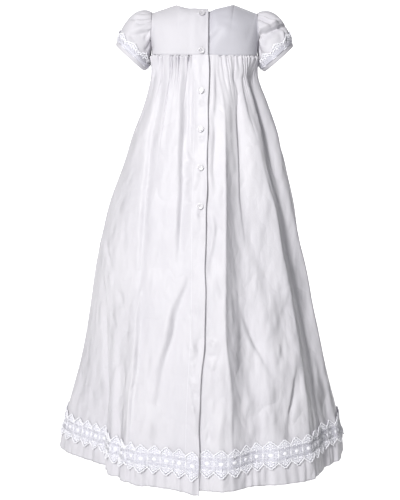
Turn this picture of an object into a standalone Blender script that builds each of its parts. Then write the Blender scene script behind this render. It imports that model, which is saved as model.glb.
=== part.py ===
"""Christening gown of white satin, filled out as if worn, with nobody in it.

The back shows towards -Y, the front towards +Y and the wearer's left is -X.
The origin lies midway between the two neck points of the shoulders, where
the wearer's shoulders carry the gown. Lengths are metres, angles degrees.
"""
import math
from collections import namedtuple

import bmesh
import bpy
import numpy as np

# Cloth and the seams between pieces
CLOTH = 0.0012
LACE_CLOTH = 0.0010
SEAM_GAP = 0.0003
LAP_LIFT = 0.0020
LAP_START, LAP_RAMP, LAP_LAG = 0.016, 0.013, 0.050
LACE_LIFT = 0.0005
NORMAL_STEP, SHARE_STEP = 1e-4, 1e-3

# Heights
WAIST_Z = -0.088
SKIRT_LENGTH = 0.768
CENTRE_DIP = 0.008
CENTRE_DIP_WIDTH, CENTRE_DIP_START = 0.045, 0.60
SEAM_HOLD = 0.030

# Bodice
NECK_HALF = 0.053
BACK_NECK_DEPTH, BACK_NECK_DROP = 0.035, 0.0095
FRONT_NECK_DEPTH, FRONT_NECK_DROP = 0.047, 0.036
SHOULDER_TIP = (0.096, 0.0, -0.0145)
ARMHOLE_X, ARMHOLE_LEAN = 0.097, 0.001
ARMHOLE_Z, ARMHOLE_HALF_HEIGHT, ARMHOLE_HALF_DEPTH = -0.04475, 0.03025, 0.031
ARMHOLE_END, SHOULDER_END = 0.42, 0.68
HALF_ARC = 0.140
COLUMN_SHARES = (0.42, 0.22, 0.36)
LAST_RISE, ROW_POWER = 0.985, 0.9
BODICE_COLUMNS_BACK, BODICE_COLUMNS_FRONT, BODICE_ROWS = 18, 36, 6

# Sleeves
CUFF_X, CUFF_Z = 0.1378, -0.0957
CUFF_HALF, CUFF_HALF_DEPTH = 0.035, 0.036
CUFF_UP = (0.742, 0.670)
ARM_OUT = (0.670, -0.742)
SLEEVE_GATHERS, SLEEVE_ROWS = 16, 8
SLEEVE_GATHER, SLEEVE_GATHER_END = 0.0011, 0.7
HEAD_OUT, HEAD_SIDE, HEAD_UP, HEAD_DOWN = 0.92, 0.40, 0.42, 0.45
HEAD_REACH, CUFF_REACH, CUFF_PUFF = (0.010, 0.030), (0.010, 0.018), (0.005, 0.009)
CUFF_PUFF_SIDE = 1.1
LOOP_BLEND = 0.10
SLEEVE_SCALLOPS = 9
SLEEVE_LACE_LIFT = 0.0008
SCALLOP_SHAPE = (0.0, 0.6, 1.0, 0.6)
SLEEVE_LACE_TIP, SLEEVE_LACE_VALLEY, SLEEVE_LACE_LOW = 0.027, 0.020, 0.008

# Skirt
GATHER = 0.0013
GATHER_FADE = 0.060
PLAIN_STRIP, PLAIN_BLEND = 0.019, 0.008
GATHERS_BACK, GATHERS_FRONT = 20, 38
GATHER_DROPS = (SEAM_GAP / 2, 0.016, 0.045)
PLAIN_DROPS = (0.080, 0.125, 0.175, 0.230, 0.290, 0.355, 0.420, 0.490,
               0.560, 0.625, 0.688, 0.715, 0.742)

# Lace band of the hem: two columns of the skirt make one scallop
SCALLOPS_BACK, SCALLOPS_FRONT = 16, 31
LACE_TIP_TOP, LACE_VALLEY_TOP = 0.691, 0.703
LACE_VALLEY_LOW, LACE_TIP_LOW = 0.729, 0.741
LACE_DROPS = (0.688, 0.715, 0.742)

# Buttons
BUTTON_RADIUS, BUTTON_EDGE, BUTTON_FACE = 0.00575, 0.0022, 0.0015
BUTTON_DISH = 0.0040
BUTTON_HOLE, BUTTON_HOLE_OFFSET = 0.0007, 0.0012
BUTTON_LIFT = 0.0005
BUTTON_X = -0.0055
BUTTON_DROPS = (-0.0715, -0.0068, 0.0640, 0.1310, 0.1980, 0.2650)

# The plain form of the skirt by drop below the waist seam
Level = namedtuple("Level", "drop left right back front square")
LEVELS = (
    Level(0.000, 0.097, 0.097, 0.062, 0.066, 3.2),
    Level(0.030, 0.097, 0.100, 0.066, 0.067, 3.0),
    Level(0.070, 0.105, 0.115, 0.076, 0.076, 2.7),
    Level(0.110, 0.118, 0.130, 0.086, 0.085, 2.5),
    Level(0.140, 0.130, 0.140, 0.094, 0.092, 2.4),
    Level(0.202, 0.150, 0.154, 0.110, 0.106, 2.2),
    Level(0.272, 0.176, 0.171, 0.128, 0.124, 2.1),
    Level(0.350, 0.196, 0.184, 0.146, 0.141, 2.0),
    Level(0.389, 0.207, 0.193, 0.155, 0.150, 2.0),
    Level(0.468, 0.224, 0.209, 0.172, 0.166, 2.0),
    Level(0.548, 0.239, 0.230, 0.186, 0.180, 2.0),
    Level(0.630, 0.259, 0.251, 0.198, 0.192, 2.0),
    Level(0.692, 0.275, 0.268, 0.206, 0.199, 2.0),
    Level(0.776, 0.292, 0.282, 0.213, 0.205, 2.0),
)

# Edges of the back opening: where the upper and the under panel end, in x
Edge = namedtuple("Edge", "drop upper under")
EDGES = (
    Edge(-0.088, 0.0060, -0.0130),
    Edge(0.000, 0.0065, -0.0130),
    Edge(0.124, 0.0065, -0.0135),
    Edge(0.268, 0.0042, -0.0150),
    Edge(0.412, 0.0040, -0.0150),
    Edge(0.499, 0.0025, -0.0150),
    Edge(0.560, -0.0010, -0.0155),
    Edge(0.622, -0.0040, -0.0155),
    Edge(0.681, -0.0050, -0.0155),
    Edge(0.776, -0.0037, -0.0155),
)

# Folds run from drop top to drop low through three angles from the back
# centre; the three heights are outwards, valleys negative
Fold = namedtuple("Fold", "top low a0 a1 a2 h0 h1 h2 width")
FOLDS = (
    # upper back panel, on the wearer's left
    Fold(0.00, 0.26, -54.8, -53.6, -53.0, -0.003, -0.003, 0.000, 0.008),
    Fold(0.00, 0.54, -51.5, -45.5, -39.0, -0.003, -0.006, 0.000, 0.012),
    Fold(0.46, 0.76, -43.5, -42.0, -42.0, 0.000, 0.008, 0.004, 0.015),
    Fold(0.46, 0.76, -37.0, -35.8, -36.0, 0.000, -0.008, -0.004, 0.011),
    Fold(0.00, 0.38, -31.8, -23.8, -19.0, -0.003, -0.004, 0.000, 0.010),
    Fold(0.02, 0.21, -27.0, -20.0, -14.0, -0.001, -0.003, 0.000, 0.008),
    Fold(0.37, 0.64, -8.5, -16.5, -22.5, 0.000, -0.005, 0.000, 0.016),
    Fold(0.42, 0.80, -60.0, -52.5, -49.5, 0.000, 0.006, 0.006, 0.022),
    Fold(0.36, 0.80, -75.0, -66.5, -65.0, 0.000, -0.024, -0.052, 0.088),
    Fold(0.60, 0.80, -46.5, -45.5, -45.0, 0.000, -0.003, -0.004, 0.010),
    Fold(0.59, 0.80, -21.0, -23.5, -26.0, 0.000, -0.004, -0.004, 0.015),
    Fold(0.30, 0.80, -14.0, -14.0, -14.0, 0.000, -0.002, -0.006, 0.034),
    # under back panel, on the wearer's right
    Fold(0.00, 0.13, 18.0, 17.0, 10.0, -0.002, -0.003, 0.000, 0.007),
    Fold(0.00, 0.80, 20.0, 13.5, 15.0, 0.003, 0.006, 0.004, 0.014),
    Fold(0.00, 0.80, 37.0, 29.5, 27.0, -0.004, -0.013, -0.007, 0.034),
    Fold(0.02, 0.34, 38.5, 31.0, 33.0, -0.003, -0.006, 0.000, 0.009),
    Fold(0.02, 0.18, 52.5, 50.5, 52.5, -0.003, -0.004, 0.000, 0.008),
    Fold(0.00, 0.80, 46.0, 54.0, 52.5, 0.003, 0.013, 0.012, 0.024),
    Fold(0.00, 0.80, 62.0, 65.0, 64.0, -0.004, -0.011, -0.008, 0.016),
    Fold(0.50, 0.80, 73.0, 73.0, 73.0, 0.000, -0.005, -0.009, 0.040),
    Fold(0.00, 0.25, 93.0, 86.0, 68.0, -0.003, -0.006, 0.000, 0.011),
    Fold(0.54, 0.68, 54.0, 49.0, 44.0, 0.000, -0.004, 0.000, 0.009),
    Fold(0.43, 0.59, 24.0, 33.0, 41.0, 0.000, -0.005, 0.000, 0.011),
    # front, between the side seams
    Fold(0.00, 0.80, 104.0, 108.0, 111.0, -0.003, -0.009, -0.014, 0.024),
    Fold(0.00, 0.80, 122.0, 125.0, 127.0, 0.003, 0.007, 0.011, 0.024),
    Fold(0.00, 0.80, 136.0, 142.0, 144.0, -0.004, -0.010, -0.015, 0.022),
    Fold(0.10, 0.80, 152.0, 156.0, 159.0, 0.000, 0.006, 0.010, 0.024),
    Fold(0.00, 0.80, 170.0, 172.0, 174.0, -0.003, -0.008, -0.012, 0.022),
    Fold(0.00, 0.80, 190.0, 188.0, 190.0, 0.003, 0.006, 0.010, 0.024),
    Fold(0.00, 0.80, 208.0, 205.0, 206.0, -0.004, -0.010, -0.015, 0.022),
    Fold(0.10, 0.80, 224.0, 221.0, 222.0, 0.000, 0.007, 0.011, 0.024),
    Fold(0.00, 0.80, 240.0, 237.0, 238.0, -0.003, -0.009, -0.014, 0.024),
)

# Bodice control points by place along the top edge: 0 is the side seam,
# 1 the centre; out is the share of the seam's depth kept
Lift = namedtuple("Lift", "place out below")
LIFTS = (
    Lift(0.00, 1.00, 0.007), Lift(0.12, 0.95, 0.011), Lift(0.24, 0.93, 0.018),
    Lift(0.33, 0.93, 0.016), Lift(0.42, 0.92, 0.004), Lift(0.55, 0.93, 0.001),
    Lift(0.68, 0.94, 0.002), Lift(0.84, 0.96, 0.008), Lift(1.00, 0.97, 0.012),
)


def column(rows, name):
    """One named column of a table as an array."""
    return np.array([getattr(row, name) for row in rows])


def at_level(name, drop):
    """A column of the skirt's levels at a drop."""
    return np.interp(drop, column(LEVELS, "drop"), column(LEVELS, name))


def edge_x(name, drop):
    """Where one of the two back edges lies at a drop."""
    return np.interp(drop, column(EDGES, "drop"), column(EDGES, name))


def form_radius(angle, drop):
    """Radius of the plain form, without folds."""
    sine, cosine = np.sin(angle), np.cos(angle)
    width = np.where(sine < 0, at_level("left", drop), at_level("right", drop))
    depth = np.where(cosine > 0, at_level("back", drop), at_level("front", drop))
    power = at_level("square", drop)
    return (np.abs(sine / width) ** power + np.abs(cosine / depth) ** power) ** (-1 / power)


def fold_height(angle, drop, radius):
    """Height of all folds together, held back near the waist seam."""
    total = np.zeros_like(radius)
    for fold in FOLDS:
        run = (drop - fold.top) / (fold.low - fold.top)
        centre = ((1 - run) * (1 - 2 * run) * fold.a0 + 4 * run * (1 - run) * fold.a1
                  + run * (2 * run - 1) * fold.a2)
        apart = (angle - np.radians(centre) + math.pi) % (2 * math.pi) - math.pi
        height = np.interp(run, (0, 0.5, 1), (fold.h0, fold.h1, fold.h2))
        bump = height * np.exp(-(apart * radius / fold.width) ** 2)
        total = total + np.where((run >= 0) & (run <= 1), bump, 0.0)
    return total * (1 - np.exp(-(drop / SEAM_HOLD) ** 2))


def lap(x, drop, upper):
    """How far the upper back panel is raised where it laps the under one."""
    if not upper:
        return np.zeros_like(x)
    run = np.clip((x - edge_x("under", drop - LAP_LAG) + LAP_START) / LAP_RAMP, 0, 1)
    return LAP_LIFT * run * run * (3 - 2 * run)


def skirt_point(angle, drop, upper, gather=0.0):
    """A point of the skirt's outer face."""
    radius = form_radius(angle, drop)
    plain = np.clip((np.abs(radius * np.sin(angle)) - PLAIN_STRIP) / PLAIN_BLEND, 0, 1)
    plain = np.where(np.cos(angle) > 0, plain, 1.0)
    radius = (radius + fold_height(angle, drop, radius)
              + lap(radius * np.sin(angle), drop, upper)
              + gather * plain * GATHER * np.exp(-(drop / GATHER_FADE) ** 2))
    return np.stack([radius * np.sin(angle), -radius * np.cos(angle), WAIST_Z - drop], -1)


def even_spread(start, end, drop, count):
    """Angles of equal steps along the plain form between two angles."""
    fine = np.linspace(start, end, 721)
    radius = form_radius(fine, np.full_like(fine, drop))
    ring = np.stack([radius * np.sin(fine), radius * np.cos(fine)], -1)
    run = np.concatenate([[0], np.cumsum(np.linalg.norm(np.diff(ring, axis=0), axis=1))])
    return np.interp(np.linspace(0, run[-1], count + 1), run, fine)


Panel = namedtuple("Panel", "start end edge gathers scallops")
PANELS = {
    "skirt_back_left": Panel(-90.0, 0.0, "upper", GATHERS_BACK, SCALLOPS_BACK),
    "skirt_back_right": Panel(90.0, 0.0, "under", GATHERS_BACK, SCALLOPS_BACK),
    "skirt_front": Panel(90.0, 270.0, "", GATHERS_FRONT, SCALLOPS_FRONT),
}


def panel_angles(panel, drops, count):
    """Angles of the panel's columns, shape drops by columns."""
    start, end = math.radians(panel.start), math.radians(panel.end)
    at_waist = even_spread(start, end, 0.0, count)
    at_hem = even_spread(start, end, SKIRT_LENGTH, count)
    share = (drops / SKIRT_LENGTH)[:, None]
    angles = at_waist * (1 - share) + at_hem * share
    trim = SEAM_GAP / 2 / at_level("left", drops)[:, None]
    turn = math.copysign(1, end - start)
    first = start + turn * trim
    if panel.edge:
        last = edge_x(panel.edge, drops)[:, None] / form_radius(0.0, drops)[:, None]
    else:
        last = end - turn * trim
    return first + (angles - start) * (last - first) / (end - start)


def outward(normal, here, middle):
    """The normals turned so that they point away from a middle point."""
    side = np.sum(normal * (here - middle), axis=-1, keepdims=True)
    return normal * np.where(side < 0, -1.0, 1.0)


def strip(first, second):
    """Triangles between two rows of any lengths."""
    faces, i, j = [], 0, 0
    n, m = len(first) - 1, len(second) - 1
    while i < n or j < m:
        if j == m or (i < n and (i + 1) / n <= (j + 1) / m):
            faces.append((first[i], second[j], first[i + 1]))
            i += 1
        else:
            faces.append((first[i], second[j], second[j + 1]))
            j += 1
    return faces


def finish(mesh_object, material):
    """Smooth shading with crisp edges, and the piece's own material."""
    mesh = mesh_object.data
    mesh.materials.append(material)
    mesh.shade_smooth()
    mesh.set_sharp_from_angle(angle=math.radians(50))
    return mesh_object


def add_wall(name, outer, inner, material, closed=False):
    """One closed body between matching rows of outer and inner points."""
    points, outer_rows, inner_rows = [], [], []
    for rows, indices in ((outer, outer_rows), (inner, inner_rows)):
        for row in rows:
            indices.append(list(range(len(points), len(points) + len(row))))
            points.extend(map(tuple, row))
            if closed:
                indices[-1].append(indices[-1][0])
    faces = []
    for rows, turned in ((outer_rows, False), (inner_rows, True)):
        for first, second in zip(rows, rows[1:]):
            made = strip(first, second)
            faces += [face[::-1] for face in made] if turned else made
    rims = [(outer_rows[0], inner_rows[0]), (outer_rows[-1], inner_rows[-1])]
    if not closed:
        for end in (0, -1):
            rims.append(([row[end] for row in outer_rows], [row[end] for row in inner_rows]))
    for first, second in rims:
        faces += strip(first, second)
    mesh = bpy.data.meshes.new(name)
    mesh.from_pydata(points, [], faces)
    body = bmesh.new()
    body.from_mesh(mesh)
    bmesh.ops.recalc_face_normals(body, faces=body.faces)
    if body.calc_volume(signed=True) < 0:
        bmesh.ops.reverse_faces(body, faces=body.faces)
    body.to_mesh(mesh)
    body.free()
    made = bpy.data.objects.new(name, mesh)
    bpy.context.collection.objects.link(made)
    return finish(made, material)


def skirt_normal(angle, drop, upper):
    """Outward normal of the skirt without its gathers."""
    along = (skirt_point(angle + NORMAL_STEP, drop, upper)
             - skirt_point(angle - NORMAL_STEP, drop, upper))
    down = (skirt_point(angle, drop + NORMAL_STEP, upper)
            - skirt_point(angle, drop - NORMAL_STEP, upper))
    normal = np.cross(down, along)
    normal /= np.linalg.norm(normal, axis=-1, keepdims=True)
    return outward(normal, skirt_point(angle, drop, upper), np.array([0.0, 0.0, WAIST_Z - 2.0]))


def hem_drop(angle, drop, upper):
    """Drops stretched where the upper panel's hem dips at the centre."""
    dip = np.exp(-(angle * at_level("back", drop) / CENTRE_DIP_WIDTH) ** 2)
    share = np.clip((drop - CENTRE_DIP_START) / (SKIRT_LENGTH - CENTRE_DIP_START), 0, 1)
    return drop + (CENTRE_DIP * dip * share if upper else 0.0)


def add_skirt_panel(name, panel, material):
    """One panel of the skirt, gathered into the waist seam."""
    upper = panel.edge == "upper"
    outer, inner = [], []
    gathered = np.array(GATHER_DROPS)
    plain = np.array(PLAIN_DROPS + (SKIRT_LENGTH,))
    for drops, count in ((gathered, 2 * panel.gathers), (plain, 2 * panel.scallops)):
        angles = panel_angles(panel, drops, count)
        levels = np.broadcast_to(drops[:, None], angles.shape)
        levels = hem_drop(angles, levels, upper)
        wave = np.where(np.arange(count + 1) % 2, -1.0, 1.0) * (drops is gathered)
        face = skirt_point(angles, levels, upper, wave[None, :])
        back = face - CLOTH * skirt_normal(angles, levels, upper)
        outer.extend(face)
        inner.extend(back)
    return add_wall(name, outer, inner, material)


def add_hem_lace(name, panel, material):
    """The scalloped lace band over one panel's hem, on the panel's columns.

    On the under panel it stops a column early, beside the edge that laps over it.
    """
    upper = panel.edge == "upper"
    count = 2 * panel.scallops
    columns = count if panel.edge == "under" else count + 1
    tip = np.arange(columns) % 2 == 1
    rows = (np.where(tip, LACE_TIP_TOP, LACE_VALLEY_TOP), np.full(columns, LACE_DROPS[1]),
            np.where(tip, LACE_TIP_LOW, LACE_VALLEY_LOW))
    edges = np.array(LACE_DROPS)
    angles = panel_angles(panel, edges, count)[:, :columns]
    levels = hem_drop(angles, np.broadcast_to(edges[:, None], angles.shape), upper)
    points = skirt_point(angles, levels, upper)
    normals = skirt_normal(angles, levels, upper)
    outer, inner = [], []
    for row, first in zip(rows, (0, 0, 1)):
        share = ((row - edges[first]) / (edges[first + 1] - edges[first]))[:, None]
        on_skirt = points[first] * (1 - share) + points[first + 1] * share
        normal = normals[first] * (1 - share) + normals[first + 1] * share
        inner.append(on_skirt + LACE_LIFT * normal)
        outer.append(on_skirt + (LACE_LIFT + LACE_CLOTH) * normal)
    return add_wall(name, outer, inner, material)


def top_edge(place, side, back):
    """The bodice's top edge from underarm over the shoulder to the centre."""
    out = -1.0 if back else 1.0
    turn = math.pi * np.clip(place / ARMHOLE_END, 0, 1)
    arm = np.stack([ARMHOLE_X + ARMHOLE_LEAN * np.cos(turn),
                    out * ARMHOLE_HALF_DEPTH * np.sin(turn),
                    ARMHOLE_Z - ARMHOLE_HALF_HEIGHT * np.cos(turn)], -1)
    run = np.clip((place - ARMHOLE_END) / (SHOULDER_END - ARMHOLE_END), 0, 1)[..., None]
    shoulder = np.array(SHOULDER_TIP) * (1 - run) + np.array([NECK_HALF, 0, 0]) * run
    depth = BACK_NECK_DEPTH if back else FRONT_NECK_DEPTH
    fall = BACK_NECK_DROP if back else FRONT_NECK_DROP
    turn = math.pi / 2 * np.maximum(place - SHOULDER_END, 0) / (1 - SHOULDER_END)
    past = math.pi / 2 + np.arcsin(np.clip((place - 1) * HALF_ARC / NECK_HALF, 0, 1))
    turn = np.where(place > 1, past, turn)
    neck = np.stack([NECK_HALF * np.cos(turn), out * depth * np.sin(turn),
                     -fall * np.sin(turn) ** 2], -1)
    place = place[..., None]
    point = np.where(place < ARMHOLE_END, arm, np.where(place < SHOULDER_END, shoulder, neck))
    return point * np.array([side, 1.0, 1.0])


def bodice_face(place, rise, side, back):
    """A point of the bodice's plain outer face: rise 0 is the waist, 1 the top."""
    places = np.linspace(0, 1, 181)
    half = even_spread(math.pi / 2, 0.0 if back else math.pi, 0.0, 180)
    angle = np.where(place <= 1, np.interp(place, places, half),
                     half[-1] + (place - 1) * (half[-1] - half[-2]) * 180)
    radius = form_radius(angle, np.zeros_like(angle))
    foot = np.stack([side * radius * np.sin(angle), -radius * np.cos(angle),
                     np.full_like(angle, WAIST_Z)], -1)
    top = top_edge(place, side, back)
    keep = np.interp(place, column(LIFTS, "place"), column(LIFTS, "out"))
    below = np.interp(place, column(LIFTS, "place"), column(LIFTS, "below"))
    control = np.stack([(foot[..., 0] + top[..., 0]) / 2, foot[..., 1] * keep,
                        top[..., 2] - below], -1)
    rise = rise[..., None]
    return foot * (1 - rise) ** 2 + control * 2 * rise * (1 - rise) + top * rise ** 2


def bodice_normal(place, rise, side, back):
    """Outward normal of the bodice, taken a little inside its edges."""
    place = np.maximum(place, 2 * SHARE_STEP)
    rise = np.clip(rise, 0.0, LAST_RISE)
    here = bodice_face(place, rise, side, back)
    normal = np.cross(bodice_face(place + SHARE_STEP, rise, side, back) - here,
                      bodice_face(place, rise + SHARE_STEP, side, back) - here)
    normal /= np.linalg.norm(normal, axis=-1, keepdims=True)
    return outward(normal, here, np.array([0.0, 0.0, WAIST_Z]))


def bodice_point(place, rise, side, back, upper):
    """A point of the bodice's outer face, raised where the upper panel laps."""
    face = bodice_face(place, rise, side, back)
    raised = lap(face[..., 0], np.zeros_like(place), upper)
    return face + raised[..., None] * bodice_normal(place, rise, side, back)


def bodice_places(count, last):
    """Columns of a bodice half with one on each corner of the top edge."""
    corners = (0.0, ARMHOLE_END, SHOULDER_END, last)
    parts = [np.linspace(a, b, round(count * share) + 1)[:-1]
             for a, b, share in zip(corners, corners[1:], COLUMN_SHARES)]
    return np.concatenate(parts + [[last]])


def trim_seams(points, back):
    """Bodice points moved off the seams by half of the seam gap."""
    points = points.copy()
    out = -1.0 if back else 1.0
    points[..., 1] = np.where(out * points[..., 1] < SEAM_GAP / 2, out * SEAM_GAP / 2,
                              points[..., 1])
    points[..., 2] = np.maximum(points[..., 2], WAIST_Z + SEAM_GAP / 2)
    return points


def add_bodice(name, material, side, back):
    """One panel of the bodice; side 0 is the whole front."""
    rises = np.linspace(0, 1, BODICE_ROWS) ** ROW_POWER
    upper = name.endswith("back_left")
    if side:
        reach = edge_x("upper" if upper else "under", 0.0) * (1 if upper else -1)
        places = bodice_places(BODICE_COLUMNS_BACK, 1 + reach / HALF_ARC)
        halves = [(places, side)]
    else:
        places = bodice_places(BODICE_COLUMNS_FRONT // 2, 1.0)
        halves = [(places, -1), (places[-2::-1], 1)]
    outer, inner = [], []
    for rise in rises:
        rows = []
        for places, hand in halves:
            level = np.full_like(places, rise)
            face = bodice_point(places, level, hand, back, upper)
            normal = bodice_normal(places, level, hand, back)
            rows.append((face, face - CLOTH * normal))
        outer.append(trim_seams(np.concatenate([row[0] for row in rows]), back))
        inner.append(trim_seams(np.concatenate([row[1] for row in rows]), back))
    return add_wall(name, outer, inner, material)


def sleeve_point(turn, run, side, gather=0.0):
    """A point of the sleeve: turn 0 at the underarm, run 0 at the armhole."""
    sine, cosine = np.sin(turn), np.cos(turn)
    high = (1 - cosine) / 2
    start = np.stack([ARMHOLE_X + ARMHOLE_LEAN * cosine + SEAM_GAP,
                      -ARMHOLE_HALF_DEPTH * sine,
                      ARMHOLE_Z - ARMHOLE_HALF_HEIGHT * cosine], -1)
    end = np.stack([CUFF_X - CUFF_HALF * cosine * CUFF_UP[0], -CUFF_HALF_DEPTH * sine,
                    CUFF_Z - CUFF_HALF * cosine * CUFF_UP[1]], -1)
    leave = np.stack([HEAD_OUT + 0 * sine, -HEAD_SIDE * sine,
                      HEAD_UP * high - HEAD_DOWN * (1 - high)], -1)
    puff = np.stack([-CUFF_UP[0] * cosine, -CUFF_PUFF_SIDE * sine, -CUFF_UP[1] * cosine], -1)
    reach, back_off, swell = (sum(pair[k] * share for k, share in enumerate((1, high)))[..., None]
                              for pair in (HEAD_REACH, CUFF_REACH, CUFF_PUFF))
    control_one = start + reach * leave
    control_two = end - back_off * np.array([ARM_OUT[0], 0, ARM_OUT[1]]) + swell * puff
    s = run[..., None]
    point = (start * (1 - s) ** 3 + control_one * 3 * s * (1 - s) ** 2
             + control_two * 3 * s * s * (1 - s) + end * s ** 3)
    fade = np.sin(math.pi * np.clip(run / SLEEVE_GATHER_END, 0, 1)) ** 0.5
    ring = np.stack([0 * high, -sine, -cosine], -1)
    point = point + (gather * SLEEVE_GATHER * fade * high)[..., None] * ring
    return point * np.array([side, 1.0, 1.0])


def sleeve_normal(turn, run, side):
    """Outward normal of the sleeve; at the armhole it is square to the loop."""
    run = np.clip(run, 0.0, 1 - SHARE_STEP)
    along = (sleeve_point(turn + SHARE_STEP, run, side)
             - sleeve_point(turn - SHARE_STEP, run, side))
    down = sleeve_point(turn, run + SHARE_STEP, side) - sleeve_point(turn, run, side)
    normal = np.cross(along, down)
    normal /= np.linalg.norm(normal, axis=-1, keepdims=True)
    middle = (sleeve_point(0 * turn, run, side) + sleeve_point(0 * turn + math.pi, run, side)) / 2
    normal = outward(normal, sleeve_point(turn, run, side), middle)
    loop = np.stack([0 * turn, -np.sin(turn), -np.cos(turn)], -1)
    share = np.clip(run / LOOP_BLEND, 0, 1)[..., None]
    mixed = loop * (1 - share) + normal * share
    return mixed / np.linalg.norm(mixed, axis=-1, keepdims=True)


def add_sleeve(name, side, material):
    """A short puffed sleeve, gathered into the armhole."""
    count = 2 * SLEEVE_GATHERS
    turns = np.linspace(0, 2 * math.pi, count, endpoint=False)
    wave = np.where(np.arange(count) % 2, -1.0, 1.0)
    runs = np.linspace(0, 1, SLEEVE_ROWS)
    outer, inner = [], []
    for run in runs:
        level = np.full(count, run)
        face = sleeve_point(turns, level, side, wave)
        outer.append(face)
        inner.append(face - CLOTH * sleeve_normal(turns, level, side))
    return add_wall(name, outer, inner, material, closed=True)


def run_from_cuff(turns, side, lengths):
    """How far along the sleeve lies a given length of cloth above the cuff."""
    fine = np.linspace(0, 1, 81)
    lines = sleeve_point(turns[:, None], np.broadcast_to(fine, (len(turns), 81)), side)
    steps = np.linalg.norm(np.diff(lines, axis=1), axis=2)
    above = np.concatenate([np.cumsum(steps[:, ::-1], axis=1)[:, ::-1],
                            np.zeros((len(turns), 1))], axis=1)
    return np.array([np.interp(length, line[::-1], fine[::-1])
                     for length, line in zip(lengths, above)])


def add_sleeve_lace(name, side, material):
    """Lace laid round above the sleeve's hem, its scallops pointing up the sleeve."""
    count = 4 * SLEEVE_SCALLOPS
    turns = np.linspace(0, 2 * math.pi, count, endpoint=False)
    height = np.array(SCALLOP_SHAPE)[np.arange(count) % 4]
    tops = SLEEVE_LACE_VALLEY + (SLEEVE_LACE_TIP - SLEEVE_LACE_VALLEY) * height
    outer, inner = [], []
    for share in (0.0, 0.5, 1.0):
        lengths = tops * (1 - share) + SLEEVE_LACE_LOW * share
        level = run_from_cuff(turns, side, lengths)
        face = sleeve_point(turns, level, side)
        normal = sleeve_normal(turns, level, side)
        inner.append(face + SLEEVE_LACE_LIFT * normal)
        outer.append(face + (SLEEVE_LACE_LIFT + LACE_CLOTH) * normal)
    return add_wall(name, outer, inner, material, closed=True)


def button_place(drop):
    """Where a button's middle sits on the upper back panel, and its normal."""
    if drop >= 0:
        level = np.array([drop])
        angle = np.arcsin(BUTTON_X / form_radius(np.zeros(1), level))
        return skirt_point(angle, level, True)[0], skirt_normal(angle, level, True)[0]
    place, rise = (grid.ravel() for grid in np.meshgrid(np.linspace(0.94, 1, 61),
                                                        np.linspace(0, 1, 201)))
    points = bodice_point(place, rise, -1, True, True)
    near = np.argmin(np.hypot(points[:, 0] - BUTTON_X, points[:, 2] - (WAIST_Z - drop)))
    return points[near], bodice_normal(place, rise, -1, True)[near]


def add_button(name, drop, material):
    """A dished button with four sewing holes, flat on the cloth."""
    profile = ((0.0, 0.0), (BUTTON_RADIUS - 0.0005, 0.0), (BUTTON_RADIUS, 0.0007),
               (BUTTON_RADIUS - 0.0003, BUTTON_EDGE - 0.0003),
               (BUTTON_RADIUS - 0.0009, BUTTON_EDGE), (BUTTON_DISH, BUTTON_FACE),
               (0.0, BUTTON_FACE))
    body = bmesh.new()
    steps = 20
    ring_points = [[body.verts.new((r * math.cos(2 * math.pi * k / steps),
                                    r * math.sin(2 * math.pi * k / steps), h))
                    for k in range(steps)] for r, h in profile[1:-1]]
    body.faces.new(ring_points[0][::-1])
    for low, high in zip(ring_points, ring_points[1:]):
        for k in range(steps):
            n = (k + 1) % steps
            body.faces.new((low[k], low[n], high[n], high[k]))
    body.faces.new(ring_points[-1])
    mesh = bpy.data.meshes.new(name)
    body.to_mesh(mesh)
    body.free()
    disc = bpy.data.objects.new(name, mesh)
    bpy.context.collection.objects.link(disc)
    for index in range(4):
        angle = math.pi / 4 + index * math.pi / 2
        bpy.ops.mesh.primitive_cylinder_add(
            vertices=8, radius=BUTTON_HOLE, depth=0.01,
            location=(BUTTON_HOLE_OFFSET * math.cos(angle),
                      BUTTON_HOLE_OFFSET * math.sin(angle), 0))
        cutter = bpy.context.object
        cut = disc.modifiers.new("hole", "BOOLEAN")
        cut.operation, cut.object, cut.solver = "DIFFERENCE", cutter, "EXACT"
        with bpy.context.temp_override(object=disc, active_object=disc):
            bpy.ops.object.modifier_apply(modifier="hole")
        bpy.data.objects.remove(cutter)
    middle, normal = button_place(drop)
    across = np.cross([0.0, 0.0, 1.0], normal)
    across /= np.linalg.norm(across)
    above = np.cross(normal, across)
    for vertex in disc.data.vertices:
        x, y, z = vertex.co
        vertex.co = middle + across * x + above * y + normal * (z + BUTTON_LIFT)
    return finish(disc, material)


def make_material(name, colour, roughness):
    """A plain principled material."""
    material = bpy.data.materials.new(name)
    material.use_nodes = True
    shader = material.node_tree.nodes["Principled BSDF"]
    shader.inputs["Base Color"].default_value = (*colour, 1.0)
    shader.inputs["Roughness"].default_value = roughness
    return material


def main():
    """Build the gown."""
    for old in list(bpy.data.objects):
        bpy.data.objects.remove(old)
    satin = make_material("satin", (0.90, 0.89, 0.92), 0.38)
    lace = make_material("lace", (0.93, 0.92, 0.94), 0.75)
    pearl = make_material("button", (0.88, 0.87, 0.88), 0.30)
    add_bodice("bodice_front", satin, 0, False)
    add_bodice("bodice_back_left", satin, -1, True)
    add_bodice("bodice_back_right", satin, 1, True)
    for name, panel in PANELS.items():
        add_skirt_panel(name, panel, satin)
        add_hem_lace(name.replace("skirt", "hem_lace"), panel, lace)
    for name, side in (("left", -1), ("right", 1)):
        add_sleeve("sleeve_" + name, side, satin)
        add_sleeve_lace("sleeve_lace_" + name, side, lace)
    for index, drop in enumerate(BUTTON_DROPS, 1):
        add_button(f"button_{index}", drop, pearl)


main()
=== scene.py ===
"""Christening gown of white satin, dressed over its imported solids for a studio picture.

The gown hangs filled out as if worn, with nobody in it. Its back faces -Y, where
the camera stands, and the wearer's left is -X. Lengths are metres.
"""
import logging
import math
from dataclasses import dataclass, field
from enum import Enum
from typing import Callable

import bpy
import numpy as np
from mathutils import Matrix, Vector


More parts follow.
